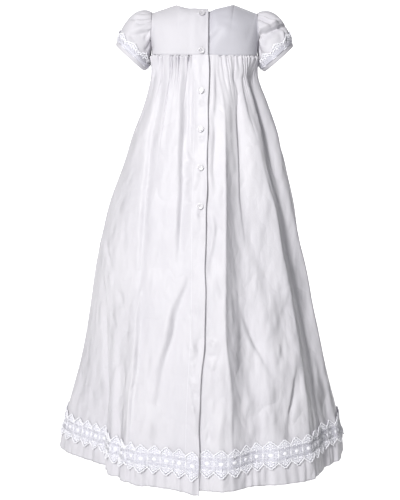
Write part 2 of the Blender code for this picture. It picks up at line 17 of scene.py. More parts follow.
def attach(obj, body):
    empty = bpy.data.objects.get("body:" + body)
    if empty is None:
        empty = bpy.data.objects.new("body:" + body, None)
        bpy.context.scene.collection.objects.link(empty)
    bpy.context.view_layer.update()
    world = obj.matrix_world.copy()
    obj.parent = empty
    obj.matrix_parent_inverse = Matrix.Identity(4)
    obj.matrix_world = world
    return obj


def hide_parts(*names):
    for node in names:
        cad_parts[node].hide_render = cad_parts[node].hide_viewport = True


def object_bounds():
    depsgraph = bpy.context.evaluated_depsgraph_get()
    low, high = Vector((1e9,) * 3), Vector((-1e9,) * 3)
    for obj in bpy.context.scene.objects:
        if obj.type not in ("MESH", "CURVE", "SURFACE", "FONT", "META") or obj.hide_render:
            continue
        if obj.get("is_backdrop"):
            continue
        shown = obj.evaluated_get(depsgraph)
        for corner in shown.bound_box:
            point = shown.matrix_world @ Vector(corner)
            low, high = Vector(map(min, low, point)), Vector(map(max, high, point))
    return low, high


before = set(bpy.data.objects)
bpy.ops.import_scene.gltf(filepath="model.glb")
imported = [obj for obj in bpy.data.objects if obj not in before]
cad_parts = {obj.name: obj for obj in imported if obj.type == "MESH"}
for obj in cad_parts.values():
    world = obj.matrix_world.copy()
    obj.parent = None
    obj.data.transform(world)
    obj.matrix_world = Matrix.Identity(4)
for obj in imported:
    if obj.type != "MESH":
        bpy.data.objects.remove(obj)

log = logging.getLogger("christening_gown")

WAIST_Z = -0.088
SKIRT_LENGTH = 0.768
LACE_PITCH = 0.0245
# An armhole: its centre in x and z, and its half widths in y and z.
ARMHOLE = (0.097, -0.04475)
ARMHOLE_HALF = (0.031, 0.03025)
TURN = 2 * math.pi
ROOT = "root"


class Side(Enum):
    """A side of the gown, as its wearer names it; the value is the sign of x."""

    LEFT = -1
    RIGHT = 1

    @property
    def word(self) -> str:
        """The word used in the names of pieces."""
        return self.name.lower()


class Held(Enum):
    """How a piece of cloth is held, in the frame's own words."""

    GATHERED = "gathered"
    HUNG = "hung"
    LAID = "laid"


class Opening(Enum):
    """The edge of the back opening that a piece ends at."""

    UPPER = "upper"
    UNDER = "under"
    NONE = "none"


# Smooth tables

class SmoothTable:
    """A natural cubic spline through the rows of a short table."""

    def __init__(self, keys: list[float] | np.ndarray,
                 values: list[float] | np.ndarray) -> None:
        """Work out the curve.

        Args:
            keys: Where each row stands, in rising order.
            values: The value of each row.
        """
        self.keys, self.values = np.array(keys, float), np.array(values, float)
        step = np.diff(self.keys)
        count = len(keys)
        matrix, right = np.eye(count), np.zeros(count)
        for row in range(1, count - 1):
            matrix[row, row - 1:row + 2] = step[row - 1], 2 * (step[row - 1] + step[row]), step[row]
            slopes = np.diff(self.values)[row - 1:row + 1] / step[row - 1:row + 1]
            right[row] = 6 * (slopes[1] - slopes[0])
        self.bends = np.linalg.solve(matrix, right)

    def __call__(self, at: np.ndarray) -> np.ndarray:
        """Read the curve.

        Args:
            at: Where to read; beyond the ends the end rows hold.

        Returns:
            The values there.
        """
        at = np.clip(at, self.keys[0], self.keys[-1])
        cell = np.clip(np.searchsorted(self.keys, at) - 1, 0, len(self.keys) - 2)
        low, high = self.keys[cell], self.keys[cell + 1]
        step = high - low
        a, b = (high - at) / step, (at - low) / step
        return (a * self.values[cell] + b * self.values[cell + 1]
                + ((a ** 3 - a) * self.bends[cell] + (b ** 3 - b) * self.bends[cell + 1])
                * step ** 2 / 6)


def smooth_step(value: np.ndarray) -> np.ndarray:
    """Ease from 0 to 1 over the same range."""
    value = np.clip(value, 0.0, 1.0)
    return value * value * (3 - 2 * value)


def unit(vectors: np.ndarray) -> np.ndarray:
    """Scale vectors to length 1."""
    return vectors / np.maximum(np.linalg.norm(vectors, axis=-1, keepdims=True), 1e-12)


def wrapped(angle: np.ndarray) -> np.ndarray:
    """Bring angles within half a turn of zero."""
    return (angle + math.pi) % TURN - math.pi


def crease_height(x: np.ndarray, y: np.ndarray, end: tuple[float, float], height: float,
                  width: float) -> np.ndarray:
    """Height of a straight crease that fades to its ends.

    Args:
        x: Places across, from the crease's start.
        y: Places down, from the crease's start.
        end: The crease's end, from its start.
        height: Its height in the middle.
        width: Its half width.

    Returns:
        Outward heights.
    """
    length = math.hypot(*end)
    run = (x * end[0] + y * end[1]) / length ** 2
    aside = (x * end[1] - y * end[0]) / length
    return (height * np.sin(math.pi * np.clip(run, 0, 1)) ** 2
            * np.exp(-(aside / width) ** 2))


# The form of the gown

@dataclass(frozen=True)
class Level:
    """One level of the skirt's plain form below the waist seam."""

    drop: float
    left: float
    right: float
    back: float
    front: float
    square: float


@dataclass(frozen=True)
class Edge:
    """Where the two edges of the back opening lie at one drop, in x."""

    drop: float
    upper: float
    under: float


@dataclass(frozen=True)
class Fold:
    """A long fold: its width, its lean and the points it passes, all in millimetres.

    Each point is a drop, an angle from the back centre in degrees and an outward
    height. A fold that leans has one steep side: on the wearer's right of a ridge and
    on the wearer's left of a valley. A crisp fold has an edge in place of a rounded top.
    """

    width: float
    lean: float
    points: tuple[tuple[float, float, float], ...]
    crisp: bool = False

    def columns(self) -> np.ndarray:
        """The drops, the angles and the heights of its points, as three rows."""
        return np.array(self.points, float).T

    def leaning(self, apart: np.ndarray) -> np.ndarray:
        """The share of its width that each side of its line has."""
        lean = self.lean if self.columns()[2].sum() < 0 else -self.lean
        return np.where(apart < 0, 1 - lean, 1 + lean)


@dataclass(frozen=True)
class Crease:
    """A short crease between two places, each an angle and a drop in millimetres.

    Its height and its half width are metres.
    """

    start: tuple[float, float]
    end: tuple[float, float]
    height: float
    width: float


LEVELS = (
    Level(0.000, 0.097, 0.097, 0.062, 0.066, 3.2),
    Level(0.030, 0.097, 0.100, 0.066, 0.067, 3.0),
    Level(0.070, 0.105, 0.115, 0.076, 0.076, 2.7),
    Level(0.110, 0.118, 0.130, 0.086, 0.085, 2.5),
    Level(0.140, 0.130, 0.140, 0.094, 0.092, 2.4),
    Level(0.202, 0.150, 0.154, 0.110, 0.106, 2.2),
    Level(0.272, 0.176, 0.171, 0.128, 0.124, 2.1),
    Level(0.350, 0.196, 0.184, 0.146, 0.141, 2.0),
    Level(0.389, 0.207, 0.193, 0.155, 0.150, 2.0),
    Level(0.468, 0.224, 0.209, 0.172, 0.166, 2.0),
    Level(0.548, 0.239, 0.230, 0.186, 0.180, 2.0),
    Level(0.630, 0.259, 0.251, 0.198, 0.192, 2.0),
    Level(0.692, 0.275, 0.268, 0.206, 0.199, 2.0),
    Level(0.776, 0.292, 0.282, 0.213, 0.205, 2.0),
)

EDGES = (
    Edge(-0.088, 0.0060, -0.0130),
    Edge(0.000, 0.0065, -0.0130),
    Edge(0.124, 0.0065, -0.0135),
    Edge(0.268, 0.0042, -0.0150),
    Edge(0.412, 0.0040, -0.0150),
    Edge(0.499, 0.0025, -0.0150),
    Edge(0.560, -0.0010, -0.0155),
    Edge(0.622, -0.0040, -0.0155),
    Edge(0.681, -0.0050, -0.0155),
    Edge(0.776, -0.0037, -0.0155),
)

FOLDS = (
    # the main folds, followed point by point
    Fold(16, 0.45, ((0, 14, 2), (36, 20, 4), (72, 22.5, 6), (116, 22, 8), (184, 19.3, 9),
                    (254, 17, 11), (340, 15, 12), (428, 13.3, 12), (513, 13, 11),
                    (558, 14.5, 8), (620, 15, 7), (674, 14.7, 6), (776, 15, 5)), True),
    Fold(36, 0, ((20, 38, -3), (98, 40, -8), (170, 39, -12), (258, 36, -14),
                 (345, 33, -15), (434, 30, -15), (520, 29, -15), (610, 29, -13),
                 (700, 29, -10), (776, 28, -8))),
    Fold(9, 0.6, ((20, 38, -2), (50, 43, -5), (106, 40, -5), (156, 37, -5),
                  (207, 35, -5), (256, 33, -4), (308, 33.5, -2), (350, 33.5, 0))),
    Fold(32, 0.5, ((0, 45, 2), (63, 47.8, 6), (134, 51, 10), (190, 50.2, 12),
                   (258, 51.8, 14), (348, 53, 14), (438, 54.6, 12), (530, 55, 10.5),
                   (621, 54.5, 9.5), (693, 52.6, 10), (776, 52.8, 11.5)), True),
    Fold(17, 0.3, ((0, 64, -9), (30, 66, -15), (63, 66, -17), (100, 65, -16),
                   (134, 64, -15), (190, 62, -12), (258, 63, -10), (348, 65, -8),
                   (438, 66, -6), (530, 66, -5), (693, 64, -5), (776, 64, -4))),
    Fold(9, 0.3, ((12, 62, -8), (63, 63.5, -12), (134, 66, -11), (210, 68, -7),
                  (280, 68, 0))),
    Fold(9, 0.4, ((380, 70, 0), (450, 68, -3), (560, 68.5, -4), (680, 66, -4),
                  (776, 66, -3))),
    Fold(13, -0.3, ((90, 84, 0), (160, 75, 2), (212, 72, 6), (282, 71, 8), (351, 75, 8),
                    (484, 77, 8), (630, 76, 8), (776, 76, 8))),
    Fold(8, 0.5, ((10, -58, -3), (94, -54.5, -5), (143, -54, -6), (210, -50, -6),
                  (310, -45, -6), (410, -41, -3), (470, -39, 0))),
    Fold(8, 0.5, ((10, -29, -3), (74, -27, -6), (123, -23, -7), (174, -21.5, -7),
                  (240, -18.5, -6), (308, -17.5, -5), (380, -16, 0))),
    Fold(12, 0.5, ((370, -7, 0), (402, -9.8, -4), (442, -15.5, -8), (492, -18, -9),
                   (531, -21.2, -8), (579, -23.5, -5), (640, -25, 0))),
    Fold(12, 0.7, ((400, -40, 0), (440, -39.8, 5), (488, -39.2, 8), (549, -38.6, 8),
                   (620, -39.5, 7), (682, -39.2, 5), (776, -39, 4))),
    Fold(92, 0, ((350, -76, 0), (400, -73, -6), (456, -70, -15), (530, -67, -27),
                 (600, -66, -38), (681, -65, -47), (776, -65, -54))),
    Fold(10, -0.5, ((400, -72, 0), (440, -69, -5), (552, -66, -7), (597, -64, -8),
                    (644, -62.5, -8), (718, -61, -7), (776, -60, -6))),
    Fold(30, 0, ((20, 92, 0), (60, 92, -4), (130, 92, -5), (200, 92, 0))),
    Fold(7, 0.5, ((30, -17, -1), (80, -16.5, -4), (140, -14, -4), (190, -12.5, 0))),
    Fold(9, 0.5, ((90, 10, 0), (140, 12, -4), (200, 9, -4), (250, 11, 0))),
    Fold(9, 0.5, ((260, 7, 0), (310, 10, -3), (360, 6, -3), (400, 5, 0))),
    Fold(15, 0.4, ((330, 40, 0), (400, 43, -3.5), (470, 41, -4), (530, 35, 0))),
    Fold(13, 0.4, ((420, 56, 0), (470, 50, -4), (530, 46, -4.5), (570, 41, 0))),
    Fold(11, 0.4, ((560, 52, 0), (600, 50, -4), (640, 46, -4), (700, 43, 0))),
    # upper back panel, on the wearer's left
    Fold(8, 0.4, ((20, -27, -2), (115, -20, -5), (210, -14, 0))),
    Fold(20, 0.4, ((420, -60, 0), (610, -52.5, 8), (800, -49.5, 7))),
    Fold(10, 0, ((600, -46.5, 0), (700, -45.5, -3), (800, -45, -4))),
    Fold(15, 0, ((590, -21, 0), (695, -23.5, -4), (800, -26, -4))),
    Fold(34, 0, ((300, -14, 0), (550, -14, -2), (800, -14, -6))),
    # under back panel, on the wearer's right
    Fold(8, 0.5, ((0, 18, -3), (65, 17, -5), (130, 10, 0))),
    Fold(28, 0.3, ((100, 33, 0), (450, 25, -4), (800, 27, -3))),
    Fold(9, 0.5, ((20, 52.5, -4), (100, 50.5, -6), (180, 52.5, 0))),
    Fold(40, 0, ((500, 73, 0), (650, 73, -5), (800, 73, -9))),
    Fold(11, 0.4, ((0, 93, -4), (125, 86, -9), (250, 68, 0))),
    Fold(9, 0.4, ((540, 54, 0), (610, 49, -6), (680, 44, 0))),
    Fold(11, 0.4, ((430, 24, 0), (510, 33, -7), (590, 41, 0))),
    # front, between the side seams
    Fold(24, 0, ((0, 104, -3), (400, 108, -9), (800, 111, -14))),
    Fold(24, 0, ((0, 122, 3), (400, 125, 7), (800, 127, 11))),
    Fold(22, 0, ((0, 136, -4), (400, 142, -10), (800, 144, -15))),
    Fold(24, 0, ((100, 152, 0), (450, 156, 6), (800, 159, 10))),
    Fold(22, 0, ((0, 170, -3), (400, 172, -8), (800, 174, -12))),
    Fold(24, 0, ((0, 190, 3), (400, 188, 6), (800, 190, 10))),
    Fold(22, 0, ((0, 208, -4), (400, 205, -10), (800, 206, -15))),
    Fold(24, 0, ((100, 224, 0), (450, 221, 7), (800, 222, 11))),
    Fold(24, 0, ((0, 240, -3), (400, 237, -9), (800, 238, -14))),
    # fine folds that only the cloth has
    Fold(6, 0, ((0, -69, -2), (60, -67, -2), (120, -66, 0))),
    Fold(6, 0, ((0, -44, -2), (95, -40, -2), (190, -37.5, 0))),
    Fold(5, 0, ((0, -38, -2), (75, -35, -2), (150, -33, 0))),
    Fold(6, 0, ((0, 35, 2), (110, 27.5, 2), (220, 27, 0))),
    Fold(6, 0, ((0, 44, -2), (100, 39, -3), (200, 38, 0))),
    Fold(7, 0, ((50, -19, 0), (145, -15.5, 2), (240, -11.5, 0))),
    Fold(6, 0, ((380, -4, 0), (440, -5.2, -2), (500, -7, 0))),
    Fold(8, 0, ((320, -78, 0), (360, -71, -4), (400, -60, 0))),
    Fold(5, 0, ((590, -5, 0), (645, -3.8, 2), (700, -2.4, 0))),
    Fold(5, 0, ((590, 6.5, 0), (620, 4, -2), (650, 1, 0))),
    Fold(5, 0, ((640, 2.8, 0), (670, 4, -2), (700, 5.2, 0))),
    Fold(8, 0, ((410, 56.5, 0), (475, 47, -3), (540, 40.5, 0))),
    Fold(12, 0, ((250, -33, 0), (350, -31, -2), (450, -30, 0))),
    Fold(16, 0, ((500, -30, 0), (640, -31, 3), (780, -31, 3))),
    Fold(20, 0, ((450, 32, 0), (595, 36, 4), (740, 37, 4))),
    Fold(12, 0, ((520, 10, 0), (650, 9, 3), (780, 9.5, 3))),
)

CREASES = (
    # pulled cloth round the fifth and sixth buttons
    Crease((-3.0, 198), (1.8, 186), 0.0012, 0.0030),
    Crease((-7.0, 200), (-21.0, 172), -0.0034, 0.0050),
    Crease((-7.5, 204), (-21.5, 229), -0.0030, 0.0050),
    Crease((-9.0, 190), (-18.0, 160), 0.0012, 0.0045),
    Crease((-7.5, 266), (-16.0, 252), -0.0024, 0.0045),
    Crease((-7.0, 132), (-16.0, 120), -0.0020, 0.0045),
    # dents under the buttons
    Crease((-7.5, 80), (0.5, 92), -0.0026, 0.0035),
    Crease((-6.5, 150), (0.5, 146), -0.0026, 0.0035),
    Crease((-6.0, 213), (0.5, 210), -0.0028, 0.0035),
    Crease((-5.5, 281), (0.5, 276), -0.0026, 0.0040),
    Crease((-1.0, 60), (3.5, 92), 0.0012, 0.0040),
    Crease((3.0, 120), (5.0, 175), 0.0018, 0.0060),
    Crease((6.0, 205), (3.0, 262), 0.0020, 0.0060),
    # crumples of the lap below the last button
    Crease((-9.5, 505), (-1.5, 519), 0.0030, 0.0042),
    Crease((-8.0, 538), (-2.0, 529), -0.0034, 0.0040),
    Crease((-7.0, 548), (-3.5, 572), -0.0030, 0.0036),
    Crease((-9.0, 567), (-2.0, 579), 0.0030, 0.0040),
    Crease((-7.0, 597), (-2.0, 589), -0.0034, 0.0040),
    Crease((-6.5, 604), (-3.0, 636), 0.0030, 0.0036),
    Crease((-8.5, 640), (-4.0, 668), -0.0028, 0.0040),
    Crease((-10.0, 455), (-3.0, 447), -0.0016, 0.0060),
    # crumples of the under panel beside the lap
    Crease((2.5, 498), (9.5, 506), 0.0034, 0.0050),
    Crease((2.0, 522), (9.0, 528), -0.0038, 0.0045),
    Crease((3.0, 548), (8.5, 538), 0.0030, 0.0045),
    Crease((6.8, 590), (2.4, 640), 0.0034, 0.0050),
    Crease((4.6, 648), (1.8, 694), -0.0030, 0.0050),
    # crushed cloth of the lower skirt
    Crease((-16.0, 655), (-10.0, 678), -0.0018, 0.0080),
    Crease((-32.0, 560), (-24.0, 600), -0.0016, 0.0090),
    Crease((-30.0, 640), (-36.0, 600), 0.0016, 0.0080),
    Crease((-12.0, 560), (-20.0, 610), 0.0016, 0.0080),
    Crease((50.0, 620), (44.0, 646), -0.0022, 0.0060),
    Crease((28.0, 476), (41.0, 560), -0.0018, 0.0060),
    Crease((30.0, 600), (22.0, 640), 0.0016, 0.0080),
    Crease((38.0, 660), (46.0, 610), -0.0018, 0.0080),
    Crease((9.0, 640), (14.0, 672), -0.0014, 0.0060),
    Crease((26.0, 420), (33.0, 455), 0.0012, 0.0070),
    Crease((44.0, 360), (50.0, 420), -0.0014, 0.0080),
    Crease((-57.0, 418), (-50.0, 458), -0.0030, 0.0080),
    Crease((-61.0, 466), (-54.0, 506), -0.0030, 0.0080),
    Crease((-49.0, 530), (-56.0, 580), -0.0026, 0.0080),
    Crease((-66.0, 380), (-60.0, 440), 0.0022, 0.0080),
    Crease((-44.0, 600), (-38.0, 560), -0.0018, 0.0070),
    Crease((-58.0, 600), (-62.0, 655), -0.0022, 0.0100),
    Crease((-70.0, 560), (-66.0, 640), 0.0022, 0.0110),
    Crease((76.0, 420), (70.0, 520), -0.0022, 0.0100),
    Crease((80.0, 600), (76.0, 690), -0.0024, 0.0110),
    Crease((150.0, 470), (143.0, 540), -0.0018, 0.0090),
    Crease((196.0, 430), (204.0, 520), -0.0018, 0.0090),
    Crease((168.0, 560), (176.0, 620), 0.0016, 0.0090),
    Crease((218.0, 600), (210.0, 660), -0.0018, 0.0090),
    Crease((128.0, 610), (120.0, 680), 0.0018, 0.0090),
    Crease((240.0, 520), (250.0, 600), -0.0020, 0.0090),
)


# On a sleeve the points are a share of the way down from the armhole, an angle from the
# underarm in radians and an outward height in millimetres; the width is an angle too.
SLEEVE_FOLDS = {
    Side.LEFT: (
        Fold(0.10, 0.3, ((0.00, 2.79, -1.5), (0.15, 2.68, -1.8), (0.31, 2.90, -1.0))),
        Fold(0.12, 0.4, ((0.00, 2.32, -2.0), (0.26, 2.38, -3.0), (0.42, 2.70, -2.4),
                         (0.52, 3.00, -1.0))),
        Fold(0.10, 0.4, ((0.00, 2.09, -1.5), (0.19, 2.12, -2.4), (0.36, 2.26, -1.4))),
        Fold(0.09, 0.0, ((0.00, 2.20, 1.0), (0.20, 2.25, 2.0), (0.36, 2.45, 1.4))),
        Fold(0.20, -0.4, ((0.02, 1.52, -2.0), (0.20, 1.68, -3.6), (0.38, 1.86, -4.0),
                          (0.65, 2.14, -2.4))),
        Fold(0.10, 0.3, ((0.07, 1.31, -1.0), (0.22, 1.45, -1.8), (0.32, 1.50, -1.0))),
        Fold(0.12, 0.3, ((0.00, 0.90, -1.0), (0.25, 1.00, -1.8), (0.45, 1.15, -1.0)))),
    Side.RIGHT: (
        Fold(0.24, -0.5, ((0.02, 1.25, -1.5), (0.05, 1.38, -4.0), (0.22, 1.70, -6.0),
                          (0.34, 1.96, -6.5), (0.44, 2.22, -6.5), (0.55, 2.62, -5.5),
                          (0.63, 3.05, -2.5))),
        Fold(0.14, -0.4, ((0.03, 1.72, 1.5), (0.25, 2.08, 3.0), (0.38, 2.42, 3.0),
                          (0.49, 2.80, 2.0))),
        Fold(0.11, 0.3, ((0.00, 2.62, -2.0), (0.18, 2.50, -3.0), (0.33, 2.52, -3.0),
                         (0.47, 2.66, -1.5))),
        Fold(0.09, 0.3, ((0.03, 2.28, -1.5), (0.12, 2.26, -2.6), (0.23, 2.20, -2.6),
                         (0.36, 2.22, -1.5))),
        Fold(0.08, 0.0, ((0.00, 2.44, 1.5), (0.13, 2.38, 2.6), (0.36, 2.38, 2.6),
                         (0.45, 2.48, 1.5))),
        Fold(0.12, 0.0, ((0.55, 2.42, 1.5), (0.62, 2.38, 2.6), (0.76, 2.20, 1.5))),
        Fold(0.11, 0.3, ((0.55, 2.62, -1.5), (0.66, 2.56, -3.0), (0.78, 2.40, -1.5))),
        Fold(0.12, 0.3, ((0.00, 1.10, -1.0), (0.10, 1.12, -2.0), (0.31, 1.34, -2.0),
                         (0.42, 1.45, -1.0))),
        Fold(0.14, 0.3, ((0.00, 0.70, -1.0), (0.30, 0.80, -2.0), (0.60, 0.95, -1.0)))),
}


@dataclass
class GownForm:
    """The shape that every piece of the gown lies on."""

    seam_hold: float = 0.030
    lap_lift: float = 0.0020
    lap_curl: float = 0.0028
    crisp_round: float = 0.09
    lap_sink: float = 0.0022
    lap_start: float = 0.016
    lap_ramp: float = 0.013
    lap_lag: float = 0.050
    dip: float = 0.008
    dip_width: float = 0.045
    dip_start: float = 0.60
    end_fade: float = 0.025
    sink_start: float = 0.002
    sink_fade: float = 0.007
    curl_width: float = 0.0045
    step: float = 4e-4
    curves: dict[str, SmoothTable] = field(default_factory=dict)
    paths: list[tuple[Fold, SmoothTable]] = field(default_factory=list)

    def __post_init__(self) -> None:
        """Lay a smooth curve through each column of the tables."""
        for rows, names in ((LEVELS, ("left", "right", "back", "front", "square")),
                            (EDGES, ("upper", "under"))):
            keys = [row.drop for row in rows]
            for name in names:
                self.curves[name] = SmoothTable(keys, [getattr(row, name) for row in rows])
        for fold in FOLDS:
            drops, angles, _ = fold.columns()
            self.paths.append((fold, SmoothTable(drops / 1000, np.radians(angles))))

    def read(self, name: str, drop: np.ndarray) -> np.ndarray:
        """Read one column of the tables at a drop."""
        return self.curves[name](np.asarray(drop, float))

    def radius(self, angle: np.ndarray, drop: np.ndarray) -> np.ndarray:
        """Radius of the plain form without folds."""
        sine, cosine = np.sin(angle), np.cos(angle)
        width = np.where(sine < 0, self.read("left", drop), self.read("right", drop))
        depth = np.where(cosine > 0, self.read("back", drop), self.read("front", drop))
        power = self.read("square", drop)
        return (np.abs(sine / width) ** power
                + np.abs(cosine / depth) ** power) ** (-1 / power)

    def fold_height(self, angle: np.ndarray, drop: np.ndarray,
                    radius: np.ndarray) -> np.ndarray:
        """Height of all folds and creases together.

        Args:
            angle: Angles from the back centre, in radians.
            drop: Drops below the waist seam.
            radius: Radius of the plain form there.

        Returns:
            Outward heights.
        """
        total = np.zeros_like(radius)
        for fold, path in self.paths:
            drops, heights = path.keys, fold.columns()[2] / 1000
            inside = (drop >= drops[0]) & (drop <= drops[-1])
            apart = wrapped(angle - path(drop))
            away = apart * radius / (fold.width / 1000 * fold.leaning(apart))
            if fold.crisp:
                away = np.sqrt(np.hypot(away, self.crisp_round) - self.crisp_round)
            bump = np.interp(drop, drops, heights) * np.exp(-away ** 2)
            if drops[0] > 0:
                bump = bump * smooth_step((drop - drops[0]) / self.end_fade)
            if drops[-1] < SKIRT_LENGTH:
                bump = bump * smooth_step((drops[-1] - drop) / self.end_fade)
            total += np.where(inside, bump, 0.0)
        total *= 1 - np.exp(-(drop / self.seam_hold) ** 2)
        for crease in CREASES:
            (first, top), (last, bottom) = crease.start, crease.end
            reach = float(self.radius(np.array(math.radians((first + last) / 2)),
                                      np.array((top + bottom) / 2000)))
            total += crease_height(wrapped(angle - math.radians(first)) * reach,
                                   drop - top / 1000,
                                   (math.radians(last - first) * reach, (bottom - top) / 1000),
                                   crease.height, crease.width)
        return total

    def lap(self, x: np.ndarray, drop: np.ndarray, upper: bool) -> np.ndarray:
        """How far the upper back panel is raised where it laps the under one."""
        if not upper:
            past = x - self.read("upper", drop) - self.sink_start
            fade = np.exp(-(past / self.sink_fade) ** 2)
            return -self.lap_sink * np.where(past > 0, fade, 1.0)
        run = (x - self.read("under", drop - self.lap_lag) + self.lap_start) / self.lap_ramp
        near = np.exp((x - self.read("upper", drop)) / self.curl_width)
        wave = 0.55 + 0.45 * np.sin(drop * 71) * np.sin(drop * 43 + 1.0)
        return (self.lap_lift * smooth_step(run)
                + self.lap_curl * wave * np.minimum(near, 1.2))

    def skirt(self, angle: np.ndarray, drop: np.ndarray, upper: bool) -> np.ndarray:
        """A point of the skirt's outer face, without gathers."""
        radius = self.radius(angle, drop)
        radius = (radius + self.fold_height(angle, drop, radius)
                  + self.lap(radius * np.sin(angle), drop, upper))
        return np.stack([radius * np.sin(angle), -radius * np.cos(angle), WAIST_Z - drop], -1)

    def skirt_normal(self, angle: np.ndarray, drop: np.ndarray, upper: bool) -> np.ndarray:
        """Outward normal of the skirt's face."""
        along = (self.skirt(angle + self.step, drop, upper)
                 - self.skirt(angle - self.step, drop, upper))
        down = (self.skirt(angle, drop + self.step, upper)
                - self.skirt(angle, drop - self.step, upper))
        return unit(np.cross(down, along))

    def dipped(self, angle: np.ndarray, drop: np.ndarray, upper: bool) -> np.ndarray:
        """Drops stretched where the upper panel's hem dips at the centre."""
        if not upper:
            return drop
        near = np.exp(-(angle * self.read("back", drop) / self.dip_width) ** 2)
        share = np.clip((drop - self.dip_start) / (SKIRT_LENGTH - self.dip_start), 0, 1)
        return drop + self.dip * near * share

    def even_spread(self, start: float, end: float, drop: float,
                    shares: np.ndarray) -> np.ndarray:
        """Angles at shares of the way along the plain form at one level.

        Args:
            start: First angle.
            end: Last angle.
            drop: The level.
            shares: Shares from 0 to 1.

        Returns:
            The angles.
        """
        fine = np.linspace(start, end, 721)
        radius = self.radius(fine, np.full_like(fine, drop))
        ring = np.stack([radius * np.sin(fine), radius * np.cos(fine)], -1)
        steps = np.linalg.norm(np.diff(ring, axis=0), axis=1)
        run = np.concatenate([[0], np.cumsum(steps)])
        return np.interp(shares * run[-1], run, fine)


# Materials

class Value:
    """A shader socket that takes part in sums as a number does."""

    def __init__(self, paint: "Paint", socket: bpy.types.NodeSocket) -> None:
        """Hold one output socket of a material's tree."""
        self.paint, self.socket = paint, socket

    def _math(self, operation: str, *operands: object) -> "Value":
        """Add a Math node over the operands."""
        return self.paint.value("ShaderNodeMath", {"operation": operation},
                                {index: item for index, item in enumerate(operands)})

    def __add__(self, other: object) -> "Value":
        """Sum."""
        return self._math("ADD", self, other)

    __radd__ = __add__

    def __sub__(self, other: object) -> "Value":
        """Difference."""
        return self._math("SUBTRACT", self, other)

    def __rsub__(self, other: object) -> "Value":
        """Difference from a number."""
        return self._math("SUBTRACT", other, self)

    def __mul__(self, other: object) -> "Value":
        """Product."""
        return self._math("MULTIPLY", self, other)

    __rmul__ = __mul__

    def __abs__(self) -> "Value":
        """Size without the sign."""
        return self._math("ABSOLUTE", self)

    def sine(self) -> "Value":
        """Sine of the value."""
        return self._math("SINE", self)

    def above(self, limit: float, soft: float) -> "Value":
        """Rise from 0 to 1 round a limit, over a soft width."""
        return self.paint.value("ShaderNodeMapRange", {"interpolation_type": "SMOOTHSTEP"},
                                {"Value": self, "From Min": limit - soft,
                                 "From Max": limit + soft})


class Paint:
    """One material and the nodes that make it."""

    def __init__(self, name: str) -> None:
        """Start a material with a plain principled shader."""
        self.material = bpy.data.materials.new(name)
        self.material.use_nodes = True
        self.tree = self.material.node_tree
        self.shader = self.tree.nodes["Principled BSDF"]

    def node(self, kind: str, settings: dict, inputs: dict) -> bpy.types.Node:
        """Add a node.

        Args:
            kind: The node's type.
            settings: Properties set first, such as an operation or a ramp's stops.
            inputs: Values or links by socket name or number.

        Returns:
            The node.
        """
        made = self.tree.nodes.new(kind)
        for key, setting in settings.items():
            if key == "stops":
                ramp = made.color_ramp
                while len(ramp.elements) < len(setting):
                    ramp.elements.new(0.5)
                for element, (place, colour) in zip(ramp.elements, setting):
                    element.position, element.color = place, (*colour, 1.0)
            else:
                setattr(made, key, setting)
        for key, item in inputs.items():
            socket = made.inputs[key]
            if isinstance(item, Value):
                self.tree.links.new(item.socket, socket)
            else:
                socket.default_value = item
        return made

    def value(self, kind: str, settings: dict, inputs: dict, output: object = 0) -> Value:
        """Add a node and take one of its outputs."""
        return Value(self, self.node(kind, settings, inputs).outputs[output])

    def place(self, scale: tuple[float, float, float] = (1, 1, 1)) -> Value:
        """Object coordinates, stretched."""
        where = self.value("ShaderNodeTexCoord", {}, {}, "Object")
        return self.value("ShaderNodeMapping", {}, {"Vector": where, "Scale": scale})

    def axis(self, where: Value, index: int) -> Value:
        """One part of a place: 0, 1 or 2 for x, y or z."""
        return self.value("ShaderNodeSeparateXYZ", {}, {"Vector": where}, index)

    def noise(self, stretch: tuple[float, float, float], detail: float = 2.0,
              scale: float = 1.0) -> Value:
        """Soft noise, as many grains a metre as the stretch says."""
        return self.value("ShaderNodeTexNoise", {},
                          {"Vector": self.place(stretch), "Scale": scale, "Detail": detail})

    def cloth_axes(self) -> tuple[Value, Value]:
        """The two directions of the cloth in metres, from the piece's UV map."""
        where = self.value("ShaderNodeUVMap", {"uv_map": "UVMap"}, {})
        return self.axis(where, 0), self.axis(where, 1)

    def blend(self, factor: Value, first: tuple, second: tuple) -> Value:
        """Mix two colours."""
        return self.value("ShaderNodeMix", {"data_type": "RGBA"},
                          {"Factor": factor, 6: (*first, 1.0), 7: (*second, 1.0)}, 2)

    def bump(self, height: Value, distance: float, strength: float,
             under: Value | None = None) -> Value:
        """Bump from a height, over another bump if given."""
        inputs = {"Height": height, "Distance": distance, "Strength": strength}
        if under is not None:
            inputs["Normal"] = under
        return self.value("ShaderNodeBump", {}, inputs)

    def finish(self, steady: dict, linked: dict) -> bpy.types.Material:
        """Set the shader's own sockets.

        Args:
            steady: Numbers and colours that are the same all over.
            linked: Links to what changes over the surface.

        Returns:
            The material.
        """
        for key, item in steady.items():
            self.shader.inputs[key].default_value = item
        for key, item in linked.items():
            self.tree.links.new(item.socket, self.shader.inputs[key])
        return self.material


